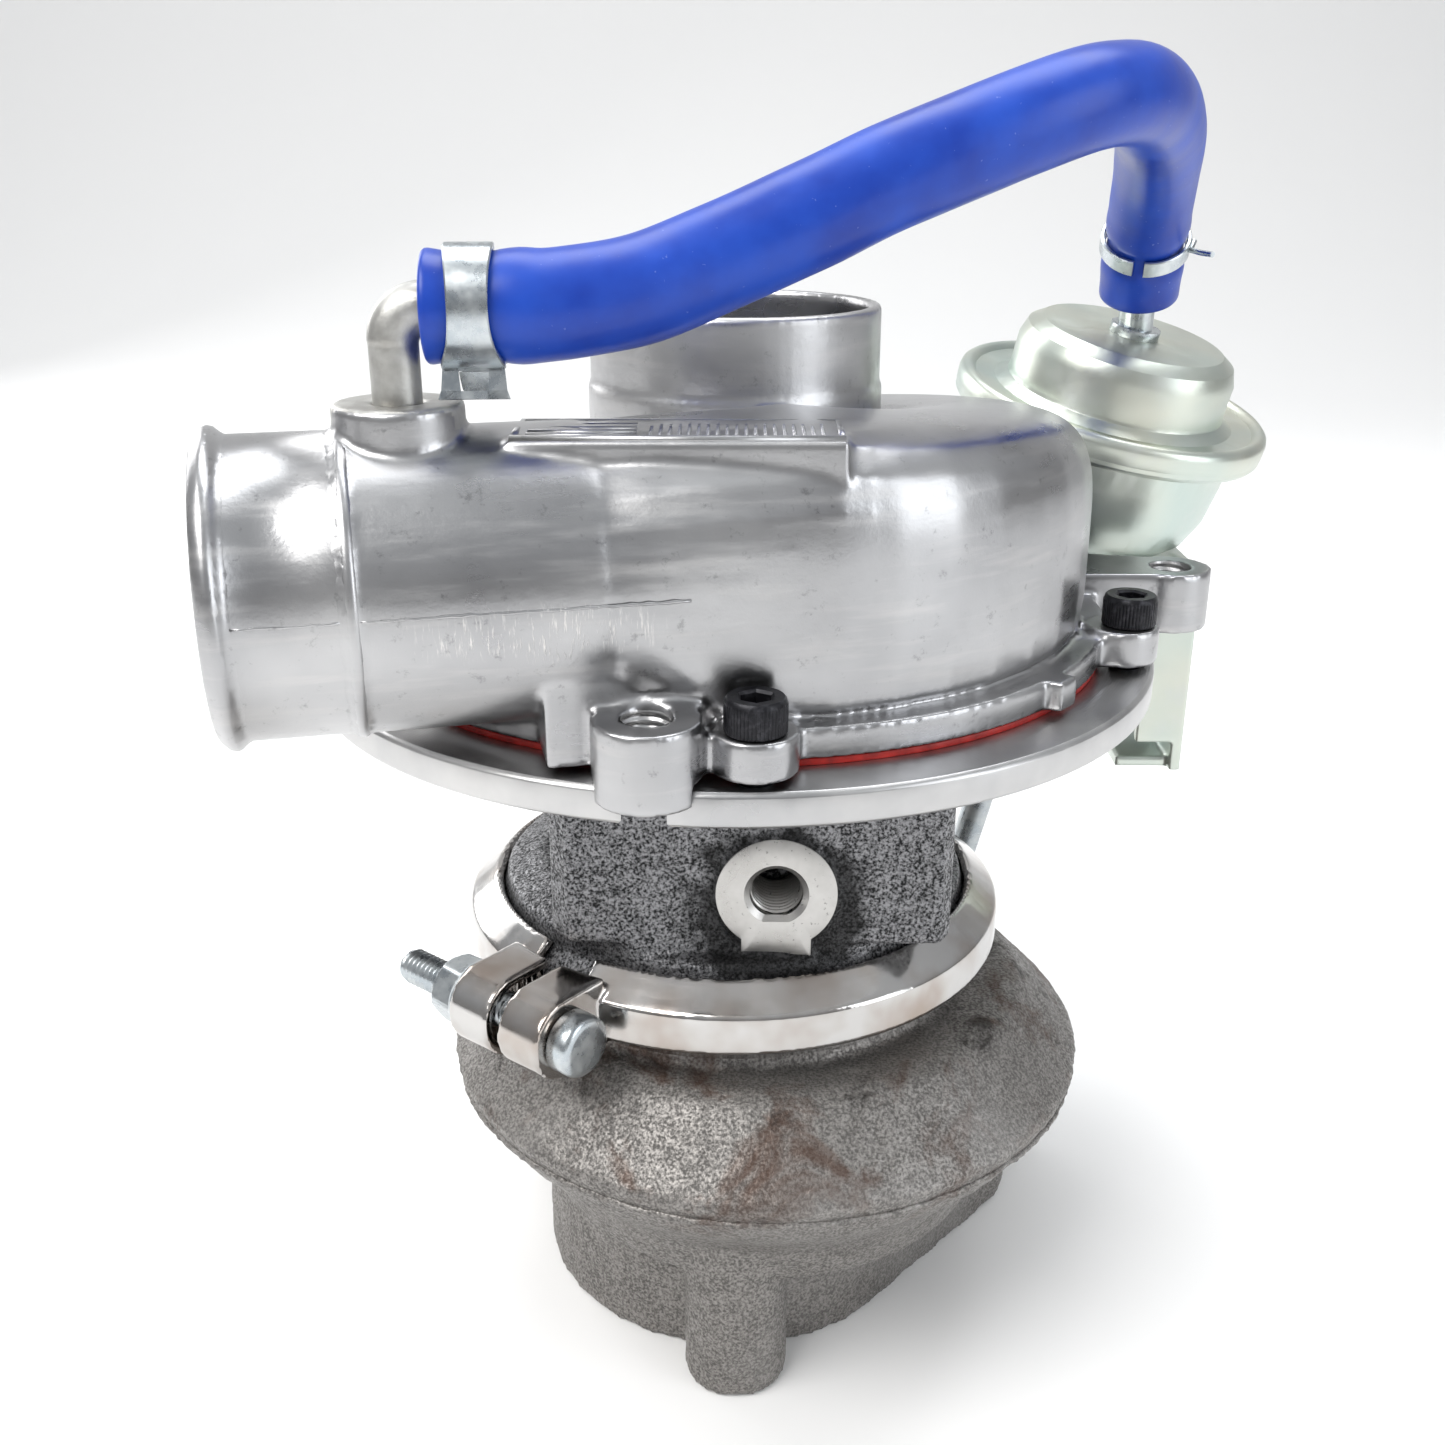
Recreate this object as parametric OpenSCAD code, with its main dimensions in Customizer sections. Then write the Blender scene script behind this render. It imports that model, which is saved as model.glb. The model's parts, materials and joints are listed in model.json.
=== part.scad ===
// Turbocharger with a V-band joint, an internal wastegate and a pneumatic actuator.
// Frame: the rotor axis is Z, the exhaust outlet face is z = 0, the compressor inlet faces +Z,
// and the compressor outlet leaves towards -X. All sizes are in millimetres.

/* [Compressor housing] */
// Outer radius of the inlet collar
inlet_r = 23.2; // [22:0.1:24]
// Wall of the inlet collar
inlet_wall = 1.9; // [1.5:0.1:2.5]
// Height of the inlet collar's lip above the base
inlet_top = 176.9; // [172:0.1:180]
// Radius of the scroll's section where it meets the outlet tube
outlet_r = 20.3; // [19:0.1:21]
// Bore radius of the outlet tube
outlet_bore_r = 17.8; // [16:0.1:18]
// Length of the outlet tube past the tangent point
outlet_len = 80.6; // [78:0.1:86]
// Angle of the tangent point, where the scroll turns into the outlet tube
outlet_angle = -76.5; // [-80:0.5:-70]
// Distance of the scroll's centre line from the rotor axis
scroll_r = 39.6; // [39:0.1:41]
// Number of screws that hold the housing on the back plate
cover_bolt_count = 5; // [4:1:6]

/* [Back plate] */
// Radius of the back plate
plate_r = 69.7; // [68:0.1:72]
// Thickness of the back plate
plate_t = 5.2; // [4.5:0.1:6]
// Height of the back plate's lower face
plate_z = 117; // [115:0.5:120]

/* [V-band joint] */
// Radius of both clamped flanges
vband_r = 45.4; // [44:0.1:47]
// Height of the plane where the two flanges meet
vband_z = 71.5; // [70:0.1:73]
// Angle of the clamp's gap
clamp_angle = -128.5; // [-135:0.5:-120]

/* [Turbine housing] */
// Radius of the housing at its parting line
turbine_r = 56.3; // [55:0.1:58]
// Height of the parting line
parting_z = 48.9; // [47:0.1:51]
// Radius of the round part of the exhaust outlet body
outlet_body_r = 35.5; // [34:0.1:37]
// Radius of the gas passage at the turbine inlet flange
turbine_inlet_r = 15.5; // [14:0.1:16]
// Distance of the turbine inlet flange's face from the scroll's tangent point
turbine_duct_len = 62; // [60:0.5:66]

/* [Rotor] */
// Radius of the shaft in its bearings
journal_r = 4; // [3.5:0.1:4.5]
// Radius of the compressor wheel's tip
compressor_tip_r = 25.5; // [24:0.1:26]
// Radius of the turbine wheel's tip
turbine_tip_r = 24; // [22:0.1:24.5]
// Blades on each wheel
blade_count = 11; // [9:1:12]

/* [Wastegate and actuator] */
// Lean of the actuator towards the front
lean_front = 9.68; // [8:0.01:11]
// Lean of the actuator towards +X
lean_side = 11; // [9:0.1:13]
// Distance of the rod's eye below the actuator's crimp
rod_len = 134; // [132:0.5:136]
// Length of the wastegate lever between its spindle and its pin
lever_len = 21; // [18:0.5:23]
// Outer radius of the actuator's crimp
crimp_r = 29.2; // [28:0.1:30]

/* [Hose] */
// Outer radius of the pressure hose
hose_r = 7; // [6.5:0.1:7.5]

/* [Hidden] */
$fn = 64;
eps = 0.02;

// Heights along the rotor
plate_top = plate_z + plate_t;
seal_t = 1;
cover_z = plate_top + seal_t;
cover_flange_r = 61.5;
cover_flange_top = cover_z + 4.6;
boss_top = cover_z + 5.8;
inlet_bore_r = inlet_r - inlet_wall;
inlet_land_z = 164.8;

// The scroll's section grows from its tongue to the outlet
tongue_angle = -130;
scroll_sweep = 306.5;
scroll_floor = 125.4;
scroll_wall = 3.6;
scroll_n = 3.8;
scroll_m = 7;
outlet_dir = outlet_angle - 90;
outlet_z = scroll_floor + outlet_r;
step_at = 61.8;
function scroll_half(s) = outlet_r * sqrt(0.06 + 0.94 * s);

// Screws on the cover's rim
cover_bolt_r = 65;
cover_bolt_start = -87.5;
cover_bolt_angles = [for (i = [0 : cover_bolt_count - 1]) cover_bolt_start + i * 360 / cover_bolt_count];
cover_screw_r = 2.5;
bracket_screw = 2;
bracket_bolt_angle = cover_bolt_angles[bracket_screw];
bracket_t = 2.2;
front_boss = [-11.3, -66];
side_lug = [76, 9.3];
nipple_x = -43.5;
nipple_y = -52;
nipple_top = 169.6;

// Oil and clamping features of the bearing housing
block_front = -37.1;
block_back = 39;
block_left = -29;
block_right = 34.5;
oil_inlet = [6.7, 91.2];
oil_inlet_r = 4.2;
drain_z = 92;
drain_y = 45;
drain_r = 8;
drain_pitch = 36;
screw_pcd_r = 30;
pocket_r = 20.1;
pocket_z = 108;
bearing_bore_r = 6.55;
bearing_r = 6.5;
bearing_clear = 0.03;
hub_seal_r = 8;
spigot_r = 38;

// Turbine housing
scroll_axis = [5.8, -4.2];
gas_scroll_r = 41;
gas_z = 46;
gas_r = 10.4;
duct_angle = 135;
wastegate_side = [40, 15];
wastegate_side_r = 16;
stud_boss_r = 8.8;
stud_points = [[0.6, -38.8], [-33, 21], [52, 27], [9, 43]];
stud_r = 3.4;
stud_depths = [18, 17.2, 16.4, 15.6];
outlet_wall = 3.5;
ceiling_z = 24;

// Linkage frame: its origin is the centre of the actuator's crimp
act_pos = [70.8, 42, 153.3];
eye = [-rod_len * sin(lean_side), 0, -rod_len * cos(lean_side)];
spindle = eye - [lever_len, 0, 0];
spindle_r = 3.5;
pin_r = 2.8;
pin_clear = 0.5;
valve_reach = 12.5;
valve_y = -52;
seat_up = 4;
port_r = 6.5;
valve_r = 8.6;
seat_boss_r = 10.5;
can_depth = 25;
cap_top = 14.4;
cap_r = 20.3;
rod_r = 3;

// The hose's centre line, in order from the compressor outlet to the actuator
hose_points = [[-39.3, -51.7, 181.4], [-30, -51, 181.4], [-22, -49, 181.5], [-12, -45, 183],
    [-2, -41, 186.6], [8.5, -38, 191], [18.8, -35, 195.6], [29.5, -32, 199.8], [40.5, -28, 203.8],
    [49.5, -23, 206.4], [56.8, -15, 207], [62.4, -4, 205.4], [66.8, 8, 201.6], [69.6, 19, 196],
    [71.2, 27, 189], [72.2, 32.6, 181.6], [72.85, 35.95, 174.5]];
hose_bore_r = 3.5;
nipple_r = 3.35;
nipple_bend = 4.2;
nipple_foot = [73.6, 39.2, 168.2];
hose_sides = 24;
hose_steps = 3;
clip_r = hose_r + 0.25;

// ---------- helpers ----------

// A cylinder from point p to point q
module bar(p, q, r) {
    d = q - p;
    len = norm(d);
    translate(p)
        rotate([0, acos(d[2] / len), atan2(d[1], d[0])])
            cylinder(h = len, r = r);
}

// A ring with a rectangular section
module ring(r_out, r_in, z0, z1) {
    rotate_extrude()
        translate([r_in, z0])
            square([r_out - r_in, z1 - z0]);
}

// A hexagonal prism with across-flats size af
module hex(af, h) {
    cylinder(h = h, r = af / sqrt(3), $fn = 6);
}

// Places children in the linkage frame, where Y is the spindle's direction
module linkage() {
    translate(act_pos)
        rotate([lean_front, 0, 0])
            children();
}

// Places children in the actuator's frame, where Z is the rod's axis
module actuator_frame() {
    linkage()
        rotate([0, lean_side, 0])
            children();
}

// A socket-head screw standing on z = 0 with its shank below
module socket_screw(r, shank, head_r, head_h, socket_af) {
    difference() {
        union() {
            cylinder(h = head_h, r = head_r);
            translate([0, 0, -shank])
                cylinder(h = shank + eps, r = r);
        }
        translate([0, 0, head_h - 2.6])
            hex(socket_af, 3);
    }
}

// ---------- swept bodies ----------

// One ring of the scroll: a rounded square with exponent n above its centre and m below it
function section(c, dir, half, n, m, sides) = [for (i = [0 : sides - 1])
    let (a = (i + 0.5) * 360 / sides, e = sin(a) > 0 ? n : m,
        k = pow(pow(abs(cos(a)), e) + pow(abs(sin(a)), e), -1 / e) * half)
        [c[0] + k * cos(a) * cos(dir), c[1] + k * cos(a) * sin(dir), c[2] + k * sin(a)]];

// s runs from 0 at the tongue to 1 at the tangent point; wall shrinks the ring for the passage
function scroll_section(s, wall, n, m, sides) = let (a = tongue_angle - s * scroll_sweep,
    h = scroll_half(s))
    section([scroll_r * cos(a), scroll_r * sin(a), scroll_floor + h], a, h - wall, n, m, sides);

function tube_section(t, n, m, sides) = section(
    [scroll_r * cos(outlet_angle) + t * cos(outlet_dir),
     scroll_r * sin(outlet_angle) + t * sin(outlet_dir), outlet_z],
    outlet_angle, outlet_r - 0.15, n, m, sides);

// Joins rings of equal point counts into a closed body
module loft(rings) {
    m = len(rings[0]);
    n = len(rings);
    side = [for (i = [0 : n - 2]) for (j = [0 : m - 1]) let (k = (j + 1) % m)
        each [[i * m + j, (i + 1) * m + k, i * m + k], [i * m + j, (i + 1) * m + j, (i + 1) * m + k]]];
    first = [for (j = [1 : m - 2]) [0, j, j + 1]];
    last = [for (j = [1 : m - 2]) [(n - 1) * m, (n - 1) * m + j + 1, (n - 1) * m + j]];
    polyhedron([for (r = rings) each r], concat(side, first, last), convexity = 6);
}

module scroll_body() {
    sides = 32;
    loft(concat([for (i = [0 : 36]) scroll_section(i / 36, 0, scroll_n, scroll_m, sides)],
        [for (i = [1 : 6]) tube_section(i * 5, scroll_n - i * (scroll_n - 2) / 6,
            scroll_m - i * (scroll_m - 2) / 6, sides)],
        [tube_section(34, 2, 2, sides)]));
}

// The gas passage of the compressor scroll
module scroll_passage()
    loft([for (i = [0 : 24]) scroll_section(i / 24, scroll_wall, 2, 2, 16)]);

// Places children with Z along the outlet tube, at distance t from the tangent point
module on_outlet(t) {
    rotate([0, 0, outlet_angle])
        translate([scroll_r, -t, outlet_z])
            rotate([90, 0, 0])
                children();
}

// ---------- compressor side ----------

module cover_lugs() {
    for (a = cover_bolt_angles)
        rotate([0, 0, a]) {
            translate([cover_bolt_r - 1, 0, cover_z])
                cylinder(h = boss_top - cover_z, r = 5.9);
            translate([50, -5.9, cover_z])
                cube([cover_bolt_r - 51, 11.8, boss_top - cover_z - 1]);
        }
    translate([front_boss[0], front_boss[1], 120.2])
        cylinder(h = 11.2, r = 7.4);
    hull() {
        translate([front_boss[0], front_boss[1], cover_z])
            cylinder(h = 7, r = 6, $fn = 32);
        translate([front_boss[0] + 2, front_boss[1] + 16, cover_z])
            cylinder(h = 10, r = 8, $fn = 32);
    }
    translate([side_lug[0], side_lug[1], 120.9])
        cylinder(h = 10.5, r = 7);
    hull() {
        translate([side_lug[0] - 1, side_lug[1], cover_z])
            cylinder(h = 8.2, r = 6, $fn = 32);
        translate([52, 12, cover_z])
            cylinder(h = 8.2, r = 8.5, $fn = 32);
    }
    rotate([0, 0, -40])
        translate([cover_flange_r - 1, -2.5, cover_z])
            cube([3.2, 5, 4.6]);
}

// The web under the outlet tube, down to the cover's rim
module outlet_web() {
    rotate([0, 0, outlet_angle])
        translate([scroll_r, 0, 0])
            translate([-2, -39, cover_z])
                cube([19.5, 44, outlet_z - cover_z - 6]);
}

// A flat raised pad on the scroll's crown
module label_pad() {
    translate([-29.3, -56.6, 159])
        cube([44, 14, 6.4]);
}

module compressor_housing() color("silver") {
    difference() {
        union() {
            scroll_body();
            inlet_collar();
            translate([0, 0, cover_z])
                cylinder(h = cover_flange_top - cover_z, r = cover_flange_r);
            cover_lugs();
            outlet_web();
            label_pad();
            on_outlet(31)
                cylinder(h = step_at - 30, r = outlet_r);
            on_outlet(step_at)
                cylinder(h = 1.2, r = outlet_r + 0.5);
            on_outlet(step_at + 1)
                cylinder(h = outlet_len - step_at - 1, r = outlet_r - 0.2);
            on_outlet(outlet_len - 3.6)
                rotate_extrude()
                    translate([outlet_r - 1, 0])
                        polygon([[0, 0], [1.2, 0.3], [2.1, 1.1], [2.1, 1.8], [1.2, 3.2], [0, 3.6]]);
            translate([nipple_x, nipple_y, outlet_z + 10])
                cylinder(h = nipple_top - outlet_z - 10, r = 8.6);
        }
        scroll_passage();
        compressor_bores();
    }
}

// The inlet collar and the housing's hub
module inlet_collar() {
    rotate_extrude()
        polygon([[0, cover_z], [50, cover_z], [50, 132], [43, 140], [31, 148], [26, 151.5],
            [inlet_r + 0.8, 153.6], [inlet_r + 0.4, 156], [inlet_r + 0.4, inlet_land_z - 0.4],
            [inlet_r, inlet_land_z], [inlet_r, inlet_top], [0, inlet_top]]);
}

module compressor_bores() {
    // Inlet and shroud around the wheel
    rotate_extrude()
        polygon([[0, 120], [46, 120], [46, scroll_floor + 0.6], [compressor_tip_r + 2, scroll_floor + 0.6],
            [26.4, 128.4], [22.4, 131.6], [19, 136.4], [17.3, 142.6], [17.1, 148], [18.4, 152],
            [inlet_bore_r, 160], [inlet_bore_r, inlet_top + 1], [0, inlet_top + 1]]);
    // Slot from the diffuser into the scroll
    ring(43, 36, 122, scroll_floor + 7);
    // Outlet bore
    on_outlet(-4)
        cylinder(h = outlet_len + 5, r = outlet_bore_r);
    on_outlet(outlet_len - 0.8)
        cylinder(h = 2, r1 = outlet_bore_r, r2 = outlet_bore_r + 1.6);
    // Screw holes
    for (a = cover_bolt_angles)
        rotate([0, 0, a]) {
            translate([cover_bolt_r, 0, 119])
                cylinder(h = 30, r = cover_screw_r + 0.25);
            translate([cover_bolt_r, 0, boss_top])
                cylinder(h = 6, r = 5.2);
        }
    // Threaded holes of the front boss and the side lug
    translate([front_boss[0], front_boss[1], 119])
        cylinder(h = 14, r = 3.4);
    translate([side_lug[0], side_lug[1], 119])
        cylinder(h = 14, r = 3.4);
    // Clearance over the back plate
    translate([0, 0, 116])
        cylinder(h = cover_z - 116, r = plate_r + 0.6);
    // Room for the actuator's crimped rim
    actuator_frame()
        translate([0, 0, -3.2])
            cylinder(h = 6.3, r = crimp_r + 0.6);
    // Pressure tapping for the hose
    translate([nipple_x, nipple_y, outlet_z])
        cylinder(h = 30, r = 1.6);
    translate([nipple_x, nipple_y, nipple_top - 5])
        cylinder(h = 6, r = 3.3);
}

module compressor_backplate() color("lightgrey") {
    difference() {
        union() {
            rotate_extrude()
                polygon([[0, plate_z], [plate_r - 0.6, plate_z], [plate_r, plate_z + 0.6],
                    [plate_r, plate_top - 0.6], [plate_r - 0.6, plate_top], [0, plate_top]]);
            translate([0, 0, plate_z - 3.6])
                cylinder(h = 4, r = pocket_r - 0.05);
        }
        translate([0, 0, 100])
            cylinder(h = 40, r = hub_seal_r + 0.15);
        ring(30, 18.6, plate_z - 2.8, plate_z - 1);
        for (a = cover_bolt_angles)
            rotate([0, 0, a])
                translate([cover_bolt_r, 0, 110])
                    cylinder(h = 20, r = cover_screw_r + 0.02);
        // Run-out of the front boss's thread
        translate([front_boss[0], front_boss[1], 110])
            cylinder(h = 20, r = 4);
        for (i = [0 : 3])
            rotate([0, 0, 45 + 90 * i])
                translate([screw_pcd_r, 0, 0]) {
                    translate([0, 0, 110])
                        cylinder(h = 20, r = 2.7);
                    translate([0, 0, plate_top - 2.6])
                        cylinder(h = 2.62, r1 = 2.7, r2 = 5.3);
                }
    }
}

module cover_seal() color("firebrick")
    ring(60.9, 57.8, plate_top, cover_z);

// The screw at the bracket sits on the bracket's foot
module cover_bolts() color("black")
    for (i = [0 : cover_bolt_count - 1]) {
        seat = i == bracket_screw ? boss_top + bracket_t : boss_top;
        rotate([0, 0, cover_bolt_angles[i]])
            translate([cover_bolt_r, 0, seat])
                socket_screw(cover_screw_r, seat - plate_z, 4.25, 5, 4);
    }

module backplate_screws() color("dimgrey")
    for (i = [0 : 3])
        rotate([0, 0, 45 + 90 * i])
            translate([screw_pcd_r, 0, 0])
                difference() {
                    union() {
                        translate([0, 0, 105])
                            cylinder(h = plate_top - 105.2, r = 2.48);
                        translate([0, 0, plate_top - 2.5])
                            cylinder(h = 2.3, r1 = 2.6, r2 = 5);
                    }
                    translate([0, 0, plate_top - 1.8])
                        hex(3, 3);
                }

module backplate_o_ring() color("black")
    rotate_extrude()
        translate([19.34, plate_z - 1.9])
            circle(r = 0.7, $fn = 24);

// ---------- rotor ----------

// Flat blades that lean about the axis, trimmed to an outline of revolution
module blades(count, outline, lean, thick) {
    intersection() {
        rotate_extrude()
            polygon(outline);
        for (i = [0 : count - 1])
            rotate([0, 0, i * 360 / count])
                translate([0, 0, outline[0][1] - 2])
                    rotate([lean, 0, 0])
                        translate([0, -thick / 2, -4])
                            cube([40, thick, 60]);
    }
}

wheel_z = 123.6;
module compressor_wheel() color("lightsteelblue") {
    difference() {
        union() {
            rotate_extrude()
                polygon([[0, wheel_z], [compressor_tip_r, wheel_z], [compressor_tip_r, wheel_z + 0.9],
                    [20, wheel_z + 2.2], [13, wheel_z + 6.4], [8.6, wheel_z + 13], [6.6, wheel_z + 20],
                    [6, wheel_z + 24], [0, wheel_z + 24]]);
            blades(blade_count, [[5, wheel_z + 0.6], [compressor_tip_r, wheel_z + 0.6],
                [compressor_tip_r, wheel_z + 3.4], [21.4, wheel_z + 7.2], [18.2, wheel_z + 12],
                [16.6, wheel_z + 18.4], [16.5, wheel_z + 22], [5, wheel_z + 22]], 24, 0.9);
        }
        translate([0, 0, wheel_z - 1])
            cylinder(h = 30, r = 3.02);
    }
}

module compressor_nut() color("dimgrey")
    translate([0, 0, wheel_z + 24])
        difference() {
            union() {
                cylinder(h = 1.2, r = 5.4);
                translate([0, 0, 1])
                    hex(8.4, 4.4);
            }
            translate([0, 0, -1])
                cylinder(h = 8, r = 3.02);
        }

collar_z = 107.4;
module thrust_collar() color("lightsteelblue")
    difference() {
        union() {
            translate([0, 0, collar_z])
                cylinder(h = wheel_z - collar_z, r = 5.2);
            translate([0, 0, collar_z])
                cylinder(h = 1.2, r = 9.4);
            translate([0, 0, 111.6])
                cylinder(h = 1.2, r = 9.4);
            translate([0, 0, 114.4])
                cylinder(h = wheel_z - 114.4, r = hub_seal_r);
        }
        translate([0, 0, 100])
            cylinder(h = 30, r = 3.02);
        ring(12, 6.8, 118.6, 120.4);
    }

module thrust_bearing() color("peru")
    difference() {
        translate([0, 0, 108.7])
            cylinder(h = 2.8, r = pocket_r - 0.1);
        translate([0, 0, 100])
            cylinder(h = 20, r = 5.3);
        for (i = [0 : 5])
            rotate([0, 0, 60 * i])
                translate([12.6, 0, 100])
                    cylinder(h = 20, r = 1.6);
    }

module oil_deflector() color("lightgrey")
    difference() {
        translate([0, 0, 112.9])
            cylinder(h = 0.45, r = pocket_r - 0.1);
        translate([0, 0, 100])
            cylinder(h = 20, r = 9.7);
    }

module journal_bearing(z0) {
    difference() {
        translate([0, 0, z0])
            cylinder(h = 9, r = bearing_r);
        translate([0, 0, z0 - 1])
            cylinder(h = 11, r = journal_r + bearing_clear);
        for (i = [0 : 3])
            rotate([0, 90, 45 + 90 * i])
                translate([-(z0 + 4.5), 0, 0])
                    cylinder(h = 20, r = 1);
    }
}

upper_bearing_z = 96.5;
lower_bearing_z = 75;
module upper_journal_bearing() color("darkgoldenrod")
    journal_bearing(upper_bearing_z);

module lower_journal_bearing() color("darkgoldenrod")
    journal_bearing(lower_bearing_z);

ring_heights = [lower_bearing_z - 1.3, lower_bearing_z + 9.2, upper_bearing_z - 1.3, upper_bearing_z + 9.2];
module bearing_snap_rings() color("dimgrey")
    for (z = ring_heights)
        difference() {
            ring(7.05, 5.6, z, z + 1.1);
            translate([3, -1.5, z - 1])
                cube([6, 3, 4]);
        }

module piston_ring(z) {
    difference() {
        ring(hub_seal_r + 0.12, 6.9, z, z + 1.4);
        translate([5, -0.3, z - 1])
            cube([6, 0.6, 4]);
    }
}

module compressor_piston_ring() color("grey")
    piston_ring(118.8);

module turbine_piston_ring() color("grey")
    piston_ring(61.6);

turbine_back = 56;
module turbine_wheel_shaft() color("slategrey") {
    difference() {
        union() {
            rotate_extrude()
                polygon([[0, 26], [4.6, 26], [5.4, 30], [6.6, 38], [9.4, 46], [15, 52], [21, 54.6],
                    [turbine_tip_r - 0.6, 55], [turbine_tip_r - 0.6, turbine_back], [10, 57.4],
                    [hub_seal_r, 58.2], [hub_seal_r, 66], [6, 68], [6, 72], [journal_r, 72.6],
                    [journal_r, collar_z], [3, collar_z], [3, wheel_z + 31], [0, wheel_z + 31]]);
            mirror([0, 0, 1])
                blades(blade_count, [[4, -55.4], [turbine_tip_r, -55.4], [turbine_tip_r, -48],
                    [21.6, -44], [20, -38], [19.8, -28], [4, -28]], 20, 1.3);
        }
        ring(12, 6.8, 61.4, 63.2);
        translate([0, 0, 24])
            hex(6, 4);
    }
}

// ---------- bearing housing ----------

module block_outline() {
    polygon([[block_left + 3, block_front], [block_right - 2, block_front], [block_right, block_front + 3],
        [block_right, 30], [block_right - 9, block_back], [block_left + 9, block_back],
        [block_left, 30], [block_left, block_front + 4]]);
}

module oil_pad() {
    translate([oil_inlet[0], block_front + 1, oil_inlet[1]])
        rotate([90, 0, 0])
            cylinder(h = 1.8, r = 9.8);
    translate([oil_inlet[0] - 5.6, block_front - 0.8, 79.6])
        cube([11.4, 1.8, 8]);
}

module bearing_housing() color("dimgrey") {
    difference() {
        union() {
            translate([0, 0, 82])
                linear_extrude(plate_z - 82)
                    block_outline();
            intersection() {
                translate([0, 0, 76])
                    linear_extrude(7)
                        block_outline();
                translate([0, 0, 70])
                    cylinder(h = 20, r = 40.6);
            }
            rotate_extrude()
                polygon([[0, 64.6], [spigot_r - 0.1, 64.6], [spigot_r - 0.1, vband_z], [vband_r, vband_z],
                    [vband_r, vband_z + 2], [41.1, vband_z + 5.4], [40.4, vband_z + 8.5],
                    [34, 82.5], [0, 82.5]]);
            rotate_extrude()
                polygon([[0, 60], [10.4, 60], [13, 63], [22, 66], [22, 70], [0, 70]]);
            oil_pad();
            translate([0, drain_y, drain_z])
                rotate([90, 0, 0])
                    drain_flange();
        }
        bearing_bores();
    }
}

module drain_flange() {
    hull() {
        for (s = [-1, 1])
            translate([s * drain_pitch / 2, 0, 0])
                cylinder(h = 8, r = 6.5, $fn = 32);
        cylinder(h = 8, r = 13, $fn = 32);
    }
}

module bearing_bores() {
    translate([0, 0, 50])
        cylinder(h = 70, r = bearing_bore_r);
    translate([0, 0, 50])
        cylinder(h = 17.5, r = hub_seal_r + 0.14);
    translate([0, 0, 66.4])
        cylinder(h = 6, r = 11);
    translate([0, 0, pocket_z])
        cylinder(h = 20, r = pocket_r);
    translate([0, 0, pocket_z - 0.9])
        cylinder(h = 2, r = 11);
    for (z = ring_heights)
        ring(7.1, 5, z - 0.05, z + 1.15);
    // Oil drain chamber, open to the back
    translate([0, 0, 85.6])
        cylinder(h = 9.2, r = 12);
    translate([0, 0, drain_z - 1.4])
        rotate([-90, 0, 0])
            cylinder(h = 60, r = 4.4);
    translate([0, 24, drain_z])
        rotate([-90, 0, 0])
            cylinder(h = 40, r = drain_r);
    for (s = [-1, 1])
        translate([s * drain_pitch / 2, drain_y - 12, drain_z])
            rotate([-90, 0, 0])
                cylinder(h = 20, r = 3.4);
    // Oil inlet thread, and the gallery to both bearings
    translate([oil_inlet[0], block_front - 2, oil_inlet[1]])
        rotate([-90, 0, 0])
            cylinder(h = 16, r = oil_inlet_r);
    translate([oil_inlet[0], block_front - 0.81, oil_inlet[1]])
        rotate([-90, 0, 0])
            cylinder(h = 1, r1 = oil_inlet_r + 1, r2 = oil_inlet_r);
    bar([oil_inlet[0], block_front + 12, oil_inlet[1]], [4, -8, upper_bearing_z + 4.5], 1.4);
    bar([oil_inlet[0], block_front + 12, oil_inlet[1]], [4, -8, lower_bearing_z + 4.5], 1.4);
    for (z = [lower_bearing_z, upper_bearing_z])
        bar([4.2, -9, z + 4.5], [0, 0, z + 4.5], 1.4);
    for (i = [0 : 3])
        rotate([0, 0, 45 + 90 * i])
            translate([screw_pcd_r, 0, 104])
                cylinder(h = 20, r = 2.5);
}

module heat_shield() color("darkkhaki")
    rotate_extrude()
        polygon([[11.4, 58.6], [24, 58.6], [25.4, 59.4], [25.4, 63.7], [35.8, 63.7], [35.8, 64.5],
            [24.6, 64.5], [24.6, 59.6], [23.6, 59.4], [11.4, 59.4]]);

// ---------- V-band joint ----------

band_t = 1.8;
band_face_r = 47.4;
band_face_h = 3.1;
band_edge_r = 42.2;
band_edge_h = 7.4;
bolt_pos_r = 53.5;
lug_near = 1.3;
lug_far = 9.8;
lug_h = 6.8;
module v_band_clamp() color("silver") {
    gap = 7;
    difference() {
        union() {
            translate([0, 0, vband_z])
                rotate([0, 0, clamp_angle + gap])
                    rotate_extrude(angle = 360 - 2 * gap)
                        polygon([[band_face_r, -band_face_h], [band_face_r, band_face_h],
                            [band_edge_r, band_edge_h], [band_edge_r - 1.1, band_edge_h - 1.4],
                            [band_face_r - band_t, band_face_h - 0.8],
                            [band_face_r - band_t, 0.8 - band_face_h],
                            [band_edge_r - 1.1, 1.4 - band_edge_h], [band_edge_r, -band_edge_h]]);
            rotate([0, 0, clamp_angle])
                for (s = [-1, 1])
                    clamp_lug(s);
        }
        translate([0, 0, vband_z])
            rotate([0, 0, clamp_angle])
                translate([bolt_pos_r, -30, 0])
                    rotate([-90, 0, 0])
                        cylinder(h = 60, r = 3.3);
    }
}

// The outline of a lug across the bolt: straight sides and a round outer end
module lug_outline(inset) {
    h = lug_h - inset;
    translate([44 + inset, -h])
        square([bolt_pos_r - 44 - inset, 2 * h]);
    translate([bolt_pos_r, 0])
        circle(r = h);
}

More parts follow.
